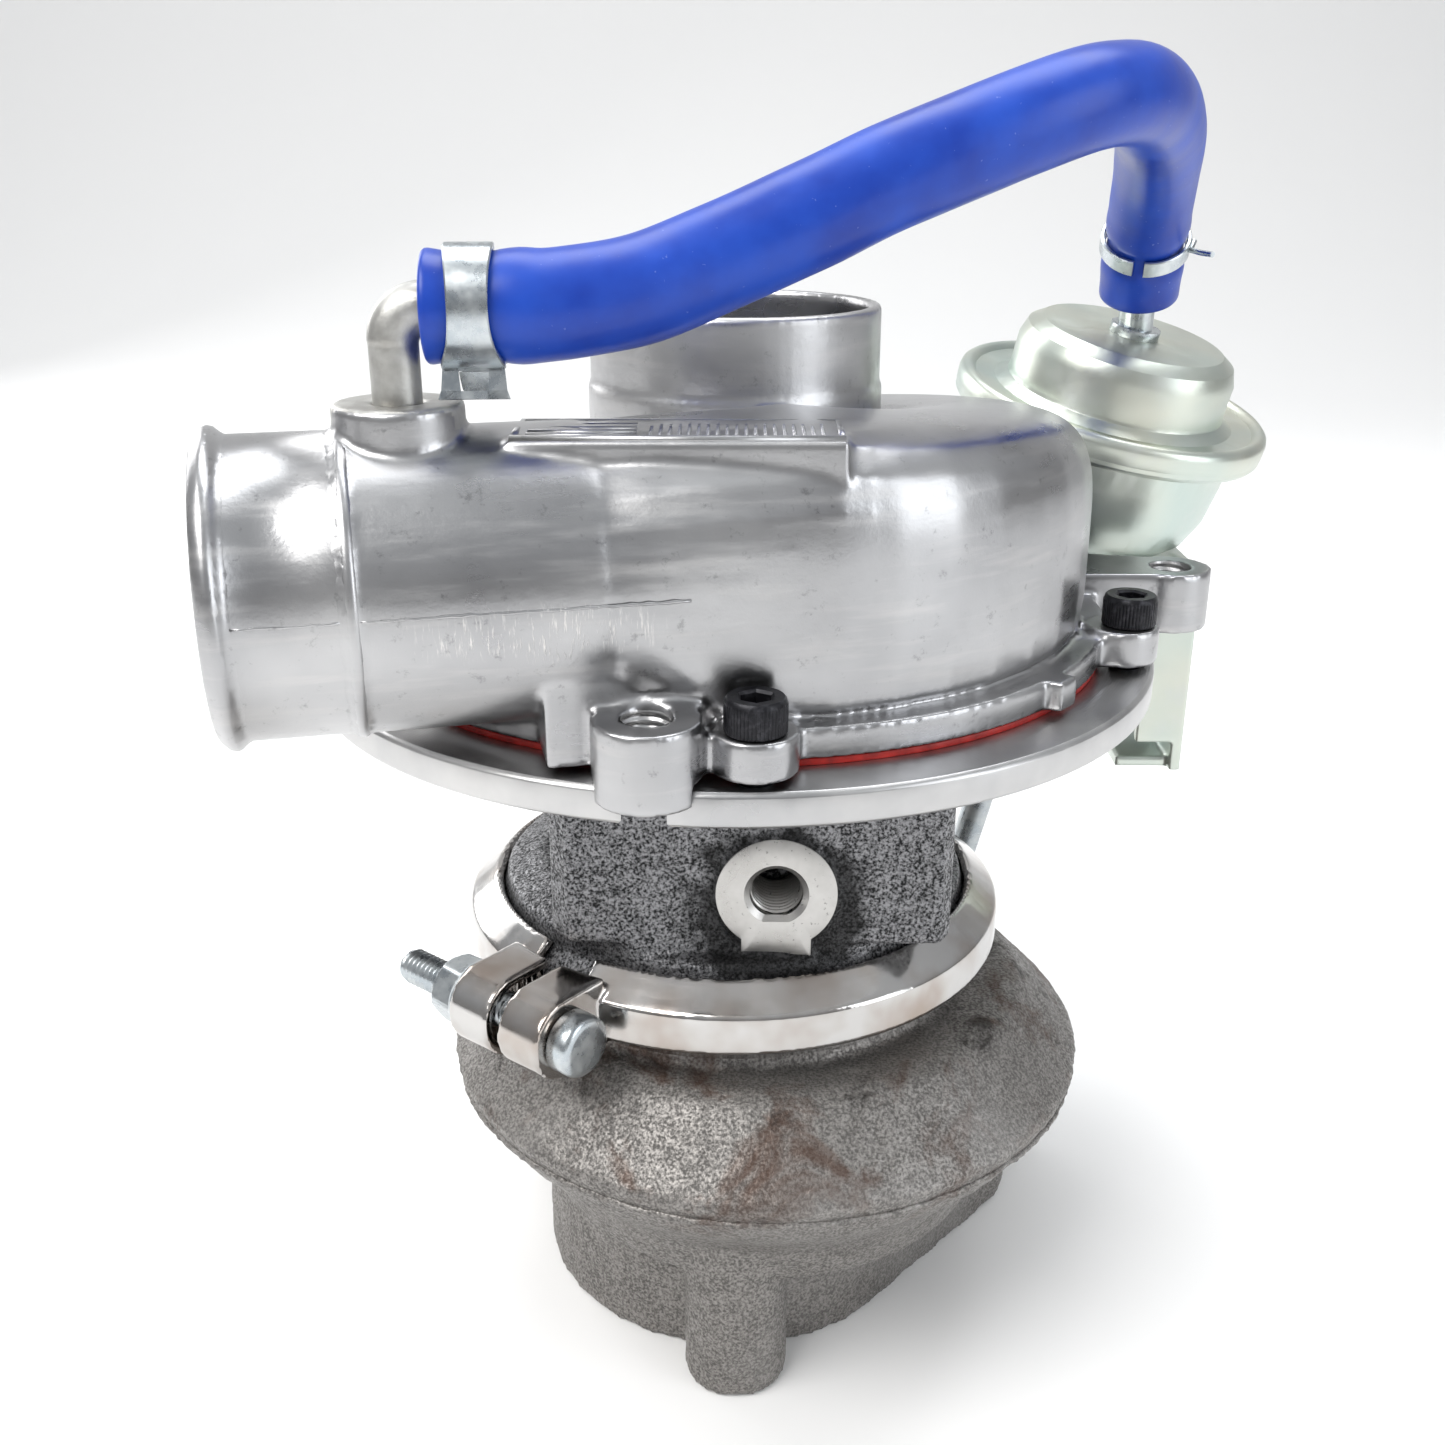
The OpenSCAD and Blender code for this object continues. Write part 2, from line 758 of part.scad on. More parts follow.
// A pressed lug at one end of the band, open towards the gap; s is the side of the gap
module clamp_lug(s) {
    translate([0, 0, vband_z])
        mirror([0, s > 0 ? 0 : 1, 0])
            difference() {
                translate([0, lug_far, 0])
                    rotate([90, 0, 0])
                        linear_extrude(lug_far - lug_near)
                            lug_outline(0);
                translate([0, lug_far - band_t, 0])
                    rotate([90, 0, 0])
                        linear_extrude(lug_far)
                            lug_outline(band_t);
                // Room for the two flanges inside the band
                ring(vband_r + 0.35, 20, -10, 10);
            }
}

module clamp_bolt() color("lightgrey")
    translate([0, 0, vband_z])
        rotate([0, 0, clamp_angle])
            translate([bolt_pos_r, 0, 0])
                rotate([90, 0, 0]) {
                    translate([0, 0, -lug_far - 4.4])
                        cylinder(h = 4.3, r = 5);
                    translate([0, 0, -lug_far - 0.2])
                        cylinder(h = 37, r = 2.9);
                }

module clamp_nut() color("lightgrey")
    translate([0, 0, vband_z])
        rotate([0, 0, clamp_angle])
            translate([bolt_pos_r, 0, 0])
                rotate([90, 0, 0])
                    difference() {
                        translate([0, 0, lug_far + 0.05])
                            union() {
                                hex(10, 6);
                                cylinder(h = 1.2, r = 6.2);
                            }
                        cylinder(h = 40, r = 2.92);
                    }

// ---------- turbine housing ----------

// The exhaust outlet's outline: a round part and a smaller round part joined by tangents
module outlet_outline(inset) {
    d = norm(wastegate_side);
    dir = atan2(wastegate_side[1], wastegate_side[0]);
    spread = acos((outlet_body_r - wastegate_side_r) / d);
    r0 = outlet_body_r - inset;
    r1 = wastegate_side_r - inset;
    // The straight sides start just inside the round parts
    s0 = r0 - 0.1;
    s1 = r1 - 0.1;
    circle(r = r0);
    translate(wastegate_side)
        circle(r = r1);
    polygon([s0 * [cos(dir - spread), sin(dir - spread)],
        wastegate_side + s1 * [cos(dir - spread), sin(dir - spread)],
        wastegate_side + s1 * [cos(dir + spread), sin(dir + spread)],
        s0 * [cos(dir + spread), sin(dir + spread)]]);
}

// Places children with Z along the turbine inlet duct, on the scroll's tangent point
module on_duct() {
    translate([scroll_axis[0], scroll_axis[1], gas_z])
        rotate([0, 0, duct_angle - 90])
            translate([gas_scroll_r, 0, 0])
                rotate([-90, 0, 0])
                    children();
}

duct_flange = [50, 48, 10];
duct_bolt = 17;
duct_corner_r = 31;
module turbine_housing() color("dimgrey") {
    difference() {
        union() {
            translate([scroll_axis[0], scroll_axis[1], 0])
                rotate_extrude()
                    polygon([[0, 22], [40, 22], [43.6, 31], [47, 35], [52.4, 40.5], [55.4, 45.4],
                        [turbine_r, parting_z - 1], [turbine_r + 0.5, parting_z],
                        [turbine_r - 0.6, parting_z + 1.2],
                        [51.4, 54.6], [45.6, 60.4], [43, 61.6], [0, 61.6]]);
            rotate_extrude()
                polygon([[0, 50], [43, 50], [41.4, 60], [40.8, vband_z - 7.6], [41.1, vband_z - 5.4],
                    [vband_r, vband_z - 2],
                    [vband_r, vband_z], [0, vband_z]]);
            linear_extrude(32)
                outlet_outline(0);
            for (p = stud_points)
                stud_boss(p);
            on_duct()
                cylinder(h = turbine_duct_len, r = 20);
            on_duct()
                intersection() {
                    translate([-duct_flange[0] / 2, -duct_flange[1] / 2, turbine_duct_len - duct_flange[2]])
                        cube(duct_flange);
                    cylinder(h = turbine_duct_len + 1, r = duct_corner_r);
                }
            linkage()
                translate([spindle[0], -34, spindle[2]])
                    rotate([-90, 0, 0])
                        cylinder(h = 25, r = 9);
        }
        turbine_bores();
    }
}

module stud_boss(p) {
    translate([p[0], p[1], 0])
        cylinder(h = 36, r = stud_boss_r);
    translate([p[0] * 0.6, p[1] * 0.6, 0])
        cylinder(h = 34, r = stud_boss_r + 4);
}

module turbine_bores() {
    // Wheel chamber and shroud
    rotate_extrude()
        polygon([[0, 20], [20.4, 20], [20.4, 38], [22, 43.6], [turbine_tip_r + 0.6, 47.4],
            [34, 47.4], [34, 56.5], [26.2, 56.5], [26.2, 63.6], [spigot_r, 63.6], [spigot_r, 80], [0, 80]]);
    // Gas scroll and inlet duct
    translate([scroll_axis[0], scroll_axis[1], gas_z])
        rotate_extrude()
            translate([gas_scroll_r, 0])
                circle(r = gas_r);
    on_duct()
        cylinder(h = turbine_duct_len + 1, r1 = gas_r - 0.4, r2 = turbine_inlet_r);
    on_duct()
        translate([0, 0, turbine_duct_len - 12])
            cylinder(h = 20, r = turbine_inlet_r);
    on_duct()
        for (x = [-1, 1], y = [-1, 1])
            translate([x * duct_bolt, y * duct_bolt, turbine_duct_len - 14])
                cylinder(h = 20, r = 4.2);
    // Exhaust chamber under the wheel and the wastegate
    difference() {
        translate([0, 0, -1])
            linear_extrude(ceiling_z + 1)
                outlet_outline(outlet_wall);
        linkage()
            translate([spindle[0] + valve_reach, valve_y, spindle[2] + seat_up])
                cylinder(h = 30, r = seat_boss_r);
    }
    linkage()
        translate([spindle[0] + valve_reach, valve_y, spindle[2] + seat_up - 1])
            cylinder(h = 28, r = port_r);
    // Studs of the exhaust flange
    for (i = [0 : len(stud_points) - 1])
        translate([stud_points[i][0], stud_points[i][1], -1])
            cylinder(h = stud_depths[i] + 1, r = stud_r);
    // Room for the clamp above the inlet duct
    ring(60, 41.3, 62.9, 66.12);
    // Spindle bore
    linkage()
        translate([spindle[0], -60, spindle[2]])
            rotate([-90, 0, 0])
                cylinder(h = 80, r = 5.5);
}

// ---------- wastegate ----------

// Places children with Z along the wastegate's spindle
module on_spindle(y) {
    linkage()
        translate([spindle[0], y, spindle[2]])
            rotate([-90, 0, 0])
                children();
}

module wastegate_bush() color("grey")
    difference() {
        on_spindle(-33)
            cylinder(h = 24.5, r = 5.48);
        on_spindle(-40)
            cylinder(h = 40, r = spindle_r + 0.06);
    }

module wastegate_arm() color("dimgrey") {
    difference() {
        union() {
            on_spindle(valve_y - 4)
                cylinder(h = -valve_y + 1, r = spindle_r);
            linkage()
                translate([spindle[0], valve_y - 4, spindle[2] - 4.2])
                    cube([valve_reach, 8, 3.4]);
            linkage()
                translate([spindle[0] + valve_reach, valve_y, spindle[2] - 4.2])
                    cylinder(h = 3.4, r = 4);
        }
        linkage()
            translate([spindle[0] + valve_reach, valve_y, spindle[2] - 10])
                cylinder(h = 20, r = 2.1);
    }
}

module wastegate_valve() color("grey")
    linkage()
        translate([spindle[0] + valve_reach, valve_y, spindle[2]]) {
            translate([0, 0, -0.6])
                cylinder(h = seat_up + 0.5, r1 = valve_r - 0.8, r2 = valve_r);
            translate([0, 0, -5.6])
                cylinder(h = 6, r = 2);
            translate([0, 0, -5.8])
                cylinder(h = 1.4, r = 3.2);
        }

module wastegate_lever() color("dimgrey") {
    difference() {
        union() {
            on_spindle(-7.8)
                cylinder(h = 4.6, r = 6.4);
            linkage()
                translate([eye[0], -7.8, eye[2]])
                    rotate([-90, 0, 0])
                        cylinder(h = 4.6, r = 5.2);
            linkage()
                translate([spindle[0], -7.8, spindle[2] - 5])
                    cube([lever_len, 4.6, 10]);
            linkage()
                translate([eye[0], -4, eye[2]])
                    rotate([-90, 0, 0])
                        cylinder(h = 10, r = pin_r);
        }
        on_spindle(-20)
            cylinder(h = 40, r = spindle_r + 0.02);
        linkage()
            translate([eye[0], 0, eye[2]])
                rotate([-90, 0, 0])
                    ring(4, 2, 3.6, 4.7);
    }
}

module lever_clip() color("silver")
    difference() {
        linkage()
            translate([eye[0], 0, eye[2]])
                rotate([-90, 0, 0])
                    ring(5, 2.05, 3.7, 4.5);
        linkage()
            translate([eye[0] - 1.8, 0, eye[2] - 8])
                cube([3.6, 10, 8]);
    }

// ---------- actuator ----------

module actuator_cap() color("gainsboro")
    actuator_frame()
        difference() {
            rotate_extrude()
                polygon([[0, cap_top - 1.2], [cap_r - 3.6, cap_top - 1.2], [cap_r - 1.8, cap_top - 2.4],
                    [cap_r - 1.2, cap_top - 4.4], [cap_r - 1.2, 2.6], [cap_r + 2, 0.6],
                    [crimp_r - 1.4, 0.6],
                    [crimp_r - 1.4, -1.4], [cap_r + 6.4, -1.4], [cap_r + 6.4, -2.6], [crimp_r - 0.6, -2.6],
                    [crimp_r, -1.8], [crimp_r, 1.4], [crimp_r - 1, 2.4], [crimp_r - 3, 2],
                    [cap_r + 2.4, 1.8],
                    [cap_r + 0.2, 3.2], [cap_r, 4], [cap_r, cap_top - 4.4], [cap_r - 1, cap_top - 1.6],
                    [cap_r - 3.4, cap_top], [0, cap_top]]);
            cylinder(h = 40, r = 1.6);
        }

module actuator_can() color("gainsboro")
    actuator_frame()
        difference() {
            rotate_extrude()
                polygon([[0, -can_depth], [13, -can_depth], [17.6, -23.4], [21.4, -20], [23.4, -15],
                    [24.2, -8], [24.2, -2.4], [25.2, -1.35], [crimp_r - 1.5, -1.35],
                    [crimp_r - 1.5, -0.5], [23, -0.5], [23, -8],
                    [22.2, -14.6], [20.4, -19], [17, -22.2], [12.6, -23.8], [0, -23.8]]);
            translate([0, 0, -40])
                cylinder(h = 30, r = rod_r + 1.6);
            for (s = [-1, 1])
                translate([0, 9 * s, -40])
                    cylinder(h = 30, r = 2.55);
        }

module actuator_diaphragm() color("darkslategrey")
    actuator_frame()
        rotate_extrude()
            polygon([[0, 0.3], [17, 0.3], [18, 0], [18.9, -3], [20, -3.6], [21.2, -3], [22, -0.45],
                [crimp_r - 1.6, -0.45], [crimp_r - 1.6, 0.5], [cap_r + 2, 0.5], [21.4, 0.2], [20.6, -2.2],
                [20, -2.6], [19.5, -2.2], [18.6, 1], [17.4, 1.3], [0, 1.3]]);

module actuator_piston() color("lightgrey")
    actuator_frame()
        difference() {
            rotate_extrude()
                polygon([[0, -2], [15, -2], [15, -12], [16.2, -12], [16.2, -1.4], [15.4, 0.2], [0, 0.2]]);
            translate([0, 0, -10])
                cylinder(h = 20, r = rod_r);
        }

// The spring's wire follows a helix
module actuator_spring() color("darkgrey")
    actuator_frame() {
        turns = 4;
        steps = 64;
        wire = 1;
        r = 12.4;
        z0 = -22.5;
        z1 = -3.3;
        loft([for (i = [0 : steps]) let (t = i / steps, a = 360 * turns * t)
            [for (j = [0 : 7]) let (b = j * 45)
                [(r + wire * cos(b)) * cos(a), (r + wire * cos(b)) * sin(a),
                 z0 + (z1 - z0) * t - wire * sin(b)]]]);
    }

module actuator_rod() color("silver")
    actuator_frame()
        union() {
            translate([0, 0, -rod_len + 9])
                cylinder(h = rod_len - 9, r = rod_r);
            translate([0, 0, -3.6])
                cylinder(h = 1.6, r = 6);
        }

module rod_locknut() color("lightgrey")
    actuator_frame()
        difference() {
            translate([0, 0, -rod_len + 17])
                hex(10, 5);
            translate([0, 0, -rod_len])
                cylinder(h = 40, r = rod_r + 0.02);
        }

module rod_end() color("silver")
    actuator_frame()
        difference() {
            union() {
                translate([0, 0, -rod_len + 5])
                    cylinder(h = 2.4, r1 = 2.5, r2 = 4.8);
                translate([0, 0, -rod_len + 7.4])
                    cylinder(h = 9.6, r = 4.8);
                translate([0, 2.6, -rod_len])
                    rotate([90, 0, 0])
                        cylinder(h = 5.2, r = 6.6);
            }
            translate([0, 5, -rod_len])
                rotate([90, 0, 0])
                    cylinder(h = 10, r = pin_r + pin_clear);
            translate([0, 0, -rod_len + 8.9])
                cylinder(h = 12, r = rod_r + 0.02);
        }

module actuator_bracket() color("lightgrey") {
    difference() {
        union() {
            // Plate under the can
            actuator_frame()
                translate([0, 0, -can_depth - bracket_t])
                    cylinder(h = bracket_t, r = 18);
            actuator_frame()
                translate([0, -9, -can_depth - bracket_t])
                    cube([22.4, 18, bracket_t]);
            // Leg that hangs beside the rod, with folded edges
            translate([86, 30, 84])
                cube([bracket_t, 24, 41]);
            for (y = [30, 54 - bracket_t])
                translate([79, y, 90])
                    cube([8, bracket_t, 30]);
            translate([76, 32, 84])
                cube([11, 20, bracket_t]);
            // Foot on the cover's rim
            bracket_foot();
        }
        actuator_frame()
            translate([0, 0, -can_depth - 10])
                cylinder(h = 20, r = rod_r + 3);
        actuator_frame()
            for (s = [-1, 1])
                translate([0, 9 * s, -can_depth - 10])
                    cylinder(h = 20, r = 2.55);
        rotate([0, 0, bracket_bolt_angle])
            translate([cover_bolt_r, 0, 0]) {
                translate([0, 0, 120])
                    cylinder(h = 20, r = 2.8);
                translate([0, 0, 115])
                    cylinder(h = boss_top + 0.03 - 115, r = 7.4);
                translate([0, 0, boss_top + bracket_t - 0.02])
                    cylinder(h = 12, r = 5.2);
            }
    }
}

module bracket_foot() {
    hull() {
        rotate([0, 0, bracket_bolt_angle])
            translate([cover_bolt_r, 0, boss_top])
                cylinder(h = bracket_t, r = 7, $fn = 32);
        actuator_frame()
            translate([-10, 6, -can_depth - bracket_t + 0.2])
                cylinder(h = bracket_t - 0.4, r = 7.6, $fn = 32);
    }
}

module actuator_nuts() color("lightgrey")
    actuator_frame()
        for (s = [-1, 1])
            translate([0, 9 * s, 0])
                union() {
                    translate([0, 0, -can_depth - 8])
                        cylinder(h = 9.4, r = 2.5);
                    translate([0, 0, -can_depth - bracket_t - 4])
                        hex(8, 4);
                }

// ---------- pressure line ----------

module outlet_nipple() color("grey") {
    toward = hose_points[1] - hose_points[0];
    difference() {
        translate([nipple_x, nipple_y, 0])
            rotate([0, 0, atan2(toward[1], toward[0])]) {
                translate([0, 0, nipple_top - 5])
                    cylinder(h = hose_points[0][2] - nipple_bend - nipple_top + 5.2, r = nipple_r - 0.1);
                translate([nipple_bend, 0, hose_points[0][2] - nipple_bend])
                    rotate([90, 0, 180])
                        rotate_extrude(angle = 90)
                            translate([nipple_bend, 0])
                                circle(r = nipple_r);
                translate([nipple_bend - 0.2, 0, hose_points[0][2]])
                    rotate([0, 90, 0])
                        cylinder(h = 11, r = nipple_r - 0.1);
            }
        translate([nipple_x, nipple_y, nipple_top - 6])
            cylinder(h = 12, r = 1.6);
    }
}

module actuator_nipple() color("silver") {
    difference() {
        bar(nipple_foot, hose_points[len(hose_points) - 2], nipple_r - 0.2);
        bar(hose_points[len(hose_points) - 1], 2 * hose_points[len(hose_points) - 2]
            - hose_points[len(hose_points) - 1], 1.6);
    }
    actuator_frame()
        translate([0, 0, cap_top])
            cylinder(h = 1.6, r = 4.6);
}

// A smooth curve through four neighbouring points
function curve(p0, p1, p2, p3, t) = 0.5 * (2 * p1 + (p2 - p0) * t
    + (2 * p0 - 5 * p1 + 4 * p2 - p3) * t * t + (3 * p1 - p0 - 3 * p2 + p3) * t * t * t);
function unit(v) = v / norm(v);
function hose_at(i) = hose_points[max(0, min(len(hose_points) - 1, i))];
hose_path = concat([for (i = [0 : len(hose_points) - 2]) for (k = [0 : hose_steps - 1])
    curve(hose_at(i - 1), hose_at(i), hose_at(i + 1), hose_at(i + 2), k / hose_steps)],
    [hose_points[len(hose_points) - 1]]);

// The direction of the hose at ring i
function heading(i) = let (n = len(hose_path) - 1)
    unit(hose_path[min(n, i + 1)] - hose_path[max(0, i - 1)]);
function hose_ring(i, r) = let (d = heading(i), u = unit(cross(d, [0.25, 1, 0.1])), v = cross(d, u))
    [for (j = [0 : hose_sides - 1]) let (a = j * 360 / hose_sides)
        hose_path[i] + r * (cos(a) * u + sin(a) * v)];

// A tube: the outer skin, back along the bore, closed at both ends
module pressure_hose() color("royalblue") {
    n = len(hose_path);
    m = hose_sides;
    rings = concat([for (i = [0 : n - 1]) hose_ring(i, hose_r)],
        [for (i = [n - 1 : -1 : 0]) hose_ring(i, hose_bore_r)]);
    count = len(rings);
    polyhedron([for (r = rings) each r],
        [for (i = [0 : count - 1]) for (j = [0 : m - 1]) let (k = (j + 1) % m, i2 = (i + 1) % count)
            each [[i * m + j, i2 * m + k, i * m + k], [i * m + j, i2 * m + j, i2 * m + k]]],
        convexity = 8);
}

// Places children with Z along the hose at route ring i
module on_hose(i) {
    d = heading(i);
    translate(hose_path[i])
        rotate([0, acos(d[2]), atan2(d[1], d[0])])
            children();
}

module hose_clip(width) {
    difference() {
        translate([0, 0, -width / 2])
            cylinder(h = width, r = clip_r + 0.8);
        translate([0, 0, -width])
            cylinder(h = 2 * width, r = clip_r);
    }
}

module outlet_hose_clip() color("silver")
    on_hose(2) {
        hose_clip(5);
        for (s = [-1, 1])
            translate([clip_r + 0.2, s * 2.4 - 0.4, -3])
                cube([4, 0.8, 6]);
    }

module actuator_hose_clip() color("silver")
    on_hose(44) {
        hose_clip(3);
        translate([-0.4, -clip_r - 5.2, -1])
            cube([0.8, 5, 2]);
    }

compressor_housing();
compressor_backplate();
cover_seal();
cover_bolts();
backplate_screws();
backplate_o_ring();
compressor_wheel();
compressor_nut();
thrust_collar();
thrust_bearing();
oil_deflector();
upper_journal_bearing();
lower_journal_bearing();
bearing_snap_rings();
compressor_piston_ring();
turbine_piston_ring();
turbine_wheel_shaft();
bearing_housing();
heat_shield();
v_band_clamp();
clamp_bolt();
clamp_nut();
turbine_housing();
wastegate_bush();
wastegate_arm();
wastegate_valve();
wastegate_lever();
lever_clip();
actuator_cap();
actuator_can();
actuator_diaphragm();
actuator_piston();
actuator_spring();
actuator_rod();
rod_locknut();
rod_end();
actuator_bracket();
actuator_nuts();
outlet_nipple();
actuator_nipple();
pressure_hose();
outlet_hose_clip();
actuator_hose_clip();
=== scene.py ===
"""A turbocharger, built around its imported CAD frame. Lengths are millimetres, which MM turns into
metres where they reach a mesh or a shader. The lights and the camera are placed in metres."""

import json
import math
import random

import bmesh
import bpy
from mathutils import Matrix, Vector, noise
from mathutils.bvhtree import BVHTree


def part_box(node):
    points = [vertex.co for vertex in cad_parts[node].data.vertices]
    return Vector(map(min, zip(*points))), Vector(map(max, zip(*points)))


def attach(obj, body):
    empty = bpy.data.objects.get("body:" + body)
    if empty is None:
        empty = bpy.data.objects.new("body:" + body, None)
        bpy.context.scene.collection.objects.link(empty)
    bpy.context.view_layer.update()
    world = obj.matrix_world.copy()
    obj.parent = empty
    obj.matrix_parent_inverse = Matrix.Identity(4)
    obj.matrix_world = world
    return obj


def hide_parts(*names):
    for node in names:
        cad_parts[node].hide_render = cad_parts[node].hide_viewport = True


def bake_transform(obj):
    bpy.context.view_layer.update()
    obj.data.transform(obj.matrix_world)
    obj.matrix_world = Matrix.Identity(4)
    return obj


MM = 0.001
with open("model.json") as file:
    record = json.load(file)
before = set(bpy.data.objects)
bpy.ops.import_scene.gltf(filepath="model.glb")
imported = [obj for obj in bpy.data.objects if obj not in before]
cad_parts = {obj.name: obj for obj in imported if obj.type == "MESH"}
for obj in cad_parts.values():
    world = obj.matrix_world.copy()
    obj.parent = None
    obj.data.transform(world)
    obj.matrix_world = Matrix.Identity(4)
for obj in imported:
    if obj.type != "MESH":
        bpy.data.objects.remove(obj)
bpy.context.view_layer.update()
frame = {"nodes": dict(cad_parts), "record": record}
PAD_CENTRE = Vector((6.7, -37.9, 88.5))


# ---------- nodes of a material ----------


def fill_ramp(ramp, stops):
    """Puts (place, colour) stops on a colour ramp; a colour may be one grey number."""
    while len(ramp.elements) < len(stops):
        ramp.elements.new(0.5)
    for element, (place, colour) in zip(ramp.elements, stops):
        element.position = place
        element.color = (*colour, 1) if isinstance(colour, tuple) else (colour, colour, colour, 1)


class Shader:
    """A material under construction: one Principled shader and small helpers that add nodes."""

    def __init__(self, name, metallic=0.0, roughness=0.5, colour=(0.5, 0.5, 0.5)):
        self.material = bpy.data.materials.new(name)
        self.material.use_nodes = True
        self.tree = self.material.node_tree
        self.tree.nodes.clear()
        self.bsdf = self.node("BsdfPrincipled", Metallic=metallic, Roughness=roughness)
        self.feed(self.bsdf.inputs["Base Color"], colour)
        self.node("OutputMaterial", Surface=self.bsdf.outputs[0])
        self.coords = self.node("TexCoord").outputs["Object"]

    def feed(self, socket, value):
        """Gives a socket a value, a colour, or another node's output."""
        if isinstance(value, bpy.types.NodeSocket):
            self.tree.links.new(value, socket)
        elif socket.type == "RGBA":
            socket.default_value = (*value, 1)
        else:
            socket.default_value = value

    def node(self, kind, **inputs):
        node = self.tree.nodes.new("ShaderNode" + kind)
        for name, value in inputs.items():
            self.feed(node.inputs[name], value)
        return node

    def stretched(self, scale, turn=(0, 0, 0)):
        """Object coordinates scaled by a different factor along each axis."""
        return self.node("Mapping", Scale=scale, Rotation=turn, Vector=self.coords).outputs[0]

    def noise(self, size, detail=3.0, rough=0.5, where=None, distortion=0.0):
        """Noise whose grains are about size millimetres across."""
        scale, place = (1000 / size, self.coords) if where is None else (1.0, where)
        return self.node("TexNoise", Scale=scale, Detail=detail, Roughness=rough,
                         Distortion=distortion, Vector=place).outputs["Fac"]

    def ramp(self, value, stops):
        node = self.node("ValToRGB", Fac=value)
        fill_ramp(node.color_ramp, stops)
        return node.outputs[0]

    def span(self, value, low, high, to_low, to_high):
        """Maps low..high of value to to_low..to_high."""
        node = self.node("MapRange")
        for socket, number in zip(node.inputs, (value, low, high, to_low, to_high)):
            self.feed(socket, number)
        return node.outputs[0]

    def spread(self, noise_value, to_low, to_high):
        """Maps 0.3..0.7, where most of a noise lies, to to_low..to_high."""
        return self.span(noise_value, 0.3, 0.7, to_low, to_high)

    def tones(self, value, first, second, low=0.3, high=0.7):
        """Goes from the first colour to the second as value goes from low to high."""
        return self.mix(self.span(value, low, high, 0, 1), first, second)

    def mix(self, share, a, b, blend="MIX"):
        node = self.node("Mix")
        node.data_type = "RGBA"
        node.blend_type = blend
        for index, value in ((0, share), (6, a), (7, b)):
            self.feed(node.inputs[index], value)
        return node.outputs[2]

    def math(self, operation, a, b=0.0):
        node = self.node("Math")
        node.operation = operation
        for socket, value in zip(node.inputs, (a, b)):
            self.feed(socket, value)
        return node.outputs[0]

    def distance(self, a, b=(0, 0, 0)):
        node = self.node("VectorMath")
        node.operation = "DISTANCE"
        for socket, value in zip(node.inputs, (a, b)):
            self.feed(socket, value)
        return node.outputs["Value"]

    def blob(self, centre, radii, turn=0.0, ragged=0.25):
        """1 inside an ellipsoid about centre (millimetres), fading raggedly to 0 at its skin."""
        node = self.node("Mapping", Location=Vector(centre) * MM, Rotation=(0, 0, turn),
                         Scale=Vector(radii) * MM, Vector=self.coords)
        node.vector_type = "TEXTURE"
        rough = self.spread(self.noise(5, 4, 0.7), -ragged, ragged)
        return self.span(self.math("ADD", self.distance(node.outputs[0]), rough), 1.1, 0.6, 0.0, 1.0)

    def coordinates(self):
        return self.node("SeparateXYZ", Vector=self.coords).outputs

    def axis_distance(self):
        """Distance from the rotor axis, in metres."""
        x, y = self.coordinates()[:2]
        return self.math("SQRT", self.math("ADD", self.math("MULTIPLY", x, x), self.math("MULTIPLY", y, y)))

    def bump(self, height, depth, under=None):
        """A bump of depth millimetres."""
        node = self.node("Bump", Strength=1.0, Distance=depth * MM, Height=height)
        if under is not None:
            self.feed(node.inputs["Normal"], under)
        return node.outputs[0]

    def finish(self, colour, roughness, normal=None):
        for name, value in (("Base Color", colour), ("Roughness", roughness), ("Normal", normal)):
            if value is not None:
                self.feed(self.bsdf.inputs[name], value)
        return self.material


# ---------- materials ----------


def cast_aluminium():
    """A shot-blasted, tumbled casting: satin, with soft cloudy patches, streaks and small dents."""
    s = Shader("cast_aluminium", metallic=1.0)
    clouds = s.noise(34, 4, 0.55)
    streaks = s.noise(1, 4, 0.6, s.stretched((45, 45, 420), (0.3, 0.2, 0.5)))
    specks = s.ramp(s.noise(2.6, 5, 0.75), [(0.30, 0.45), (0.40, 1.0)])
    colour = s.tones(clouds, (0.34, 0.34, 0.35), (0.50, 0.50, 0.505))
    colour = s.mix(s.span(streaks, 0.52, 0.75, 0, 0.45), colour, (0.60, 0.59, 0.58))
    colour = s.mix(0.55, colour, specks, "MULTIPLY")
    rough = s.math("ADD", s.spread(clouds, 0.24, 0.36), s.span(streaks, 0.45, 0.75, 0, 0.12))
    # Short slanted file scratches where the flash line was dressed, on both sides of the tube
    slanted = s.stretched((3000, 900, 300), (0.0, 0.5, 0.2))
    scratches = s.span(s.noise(1, 3, 0.7, slanted), 0.55, 0.72, 0, 1)
    sides = [s.blob(centre, (19, 9, 3.6), 0.235) for centre in ((-24, -66, 143), (-32, -27, 143))]
    filed = s.math("MULTIPLY", scratches, s.math("MINIMUM", s.math("ADD", *sides), 1.0))
    colour = s.mix(filed, colour, (0.74, 0.72, 0.70))
    normal = s.bump(s.noise(7, 3, 0.5), 0.10)
    normal = s.bump(s.noise(0.55, 2, 0.6), 0.018, normal)
    normal = s.bump(filed, 0.05, normal)
    return s.finish(colour, rough, normal)


def machined_aluminium():
    """Turned around the rotor axis: fine rings and a soft sheen."""
    s = Shader("machined_aluminium", metallic=1.0)
    ring_pitch = 0.42
    grooves = s.math("SINE", s.math("MULTIPLY", s.axis_distance(), 2 * math.pi / (ring_pitch * MM)))
    clouds = s.noise(16, 4, 0.6)
    colour = s.tones(clouds, (0.42, 0.42, 0.425), (0.56, 0.555, 0.55))
    return s.finish(colour, s.spread(clouds, 0.27, 0.4), s.bump(grooves, 0.006))


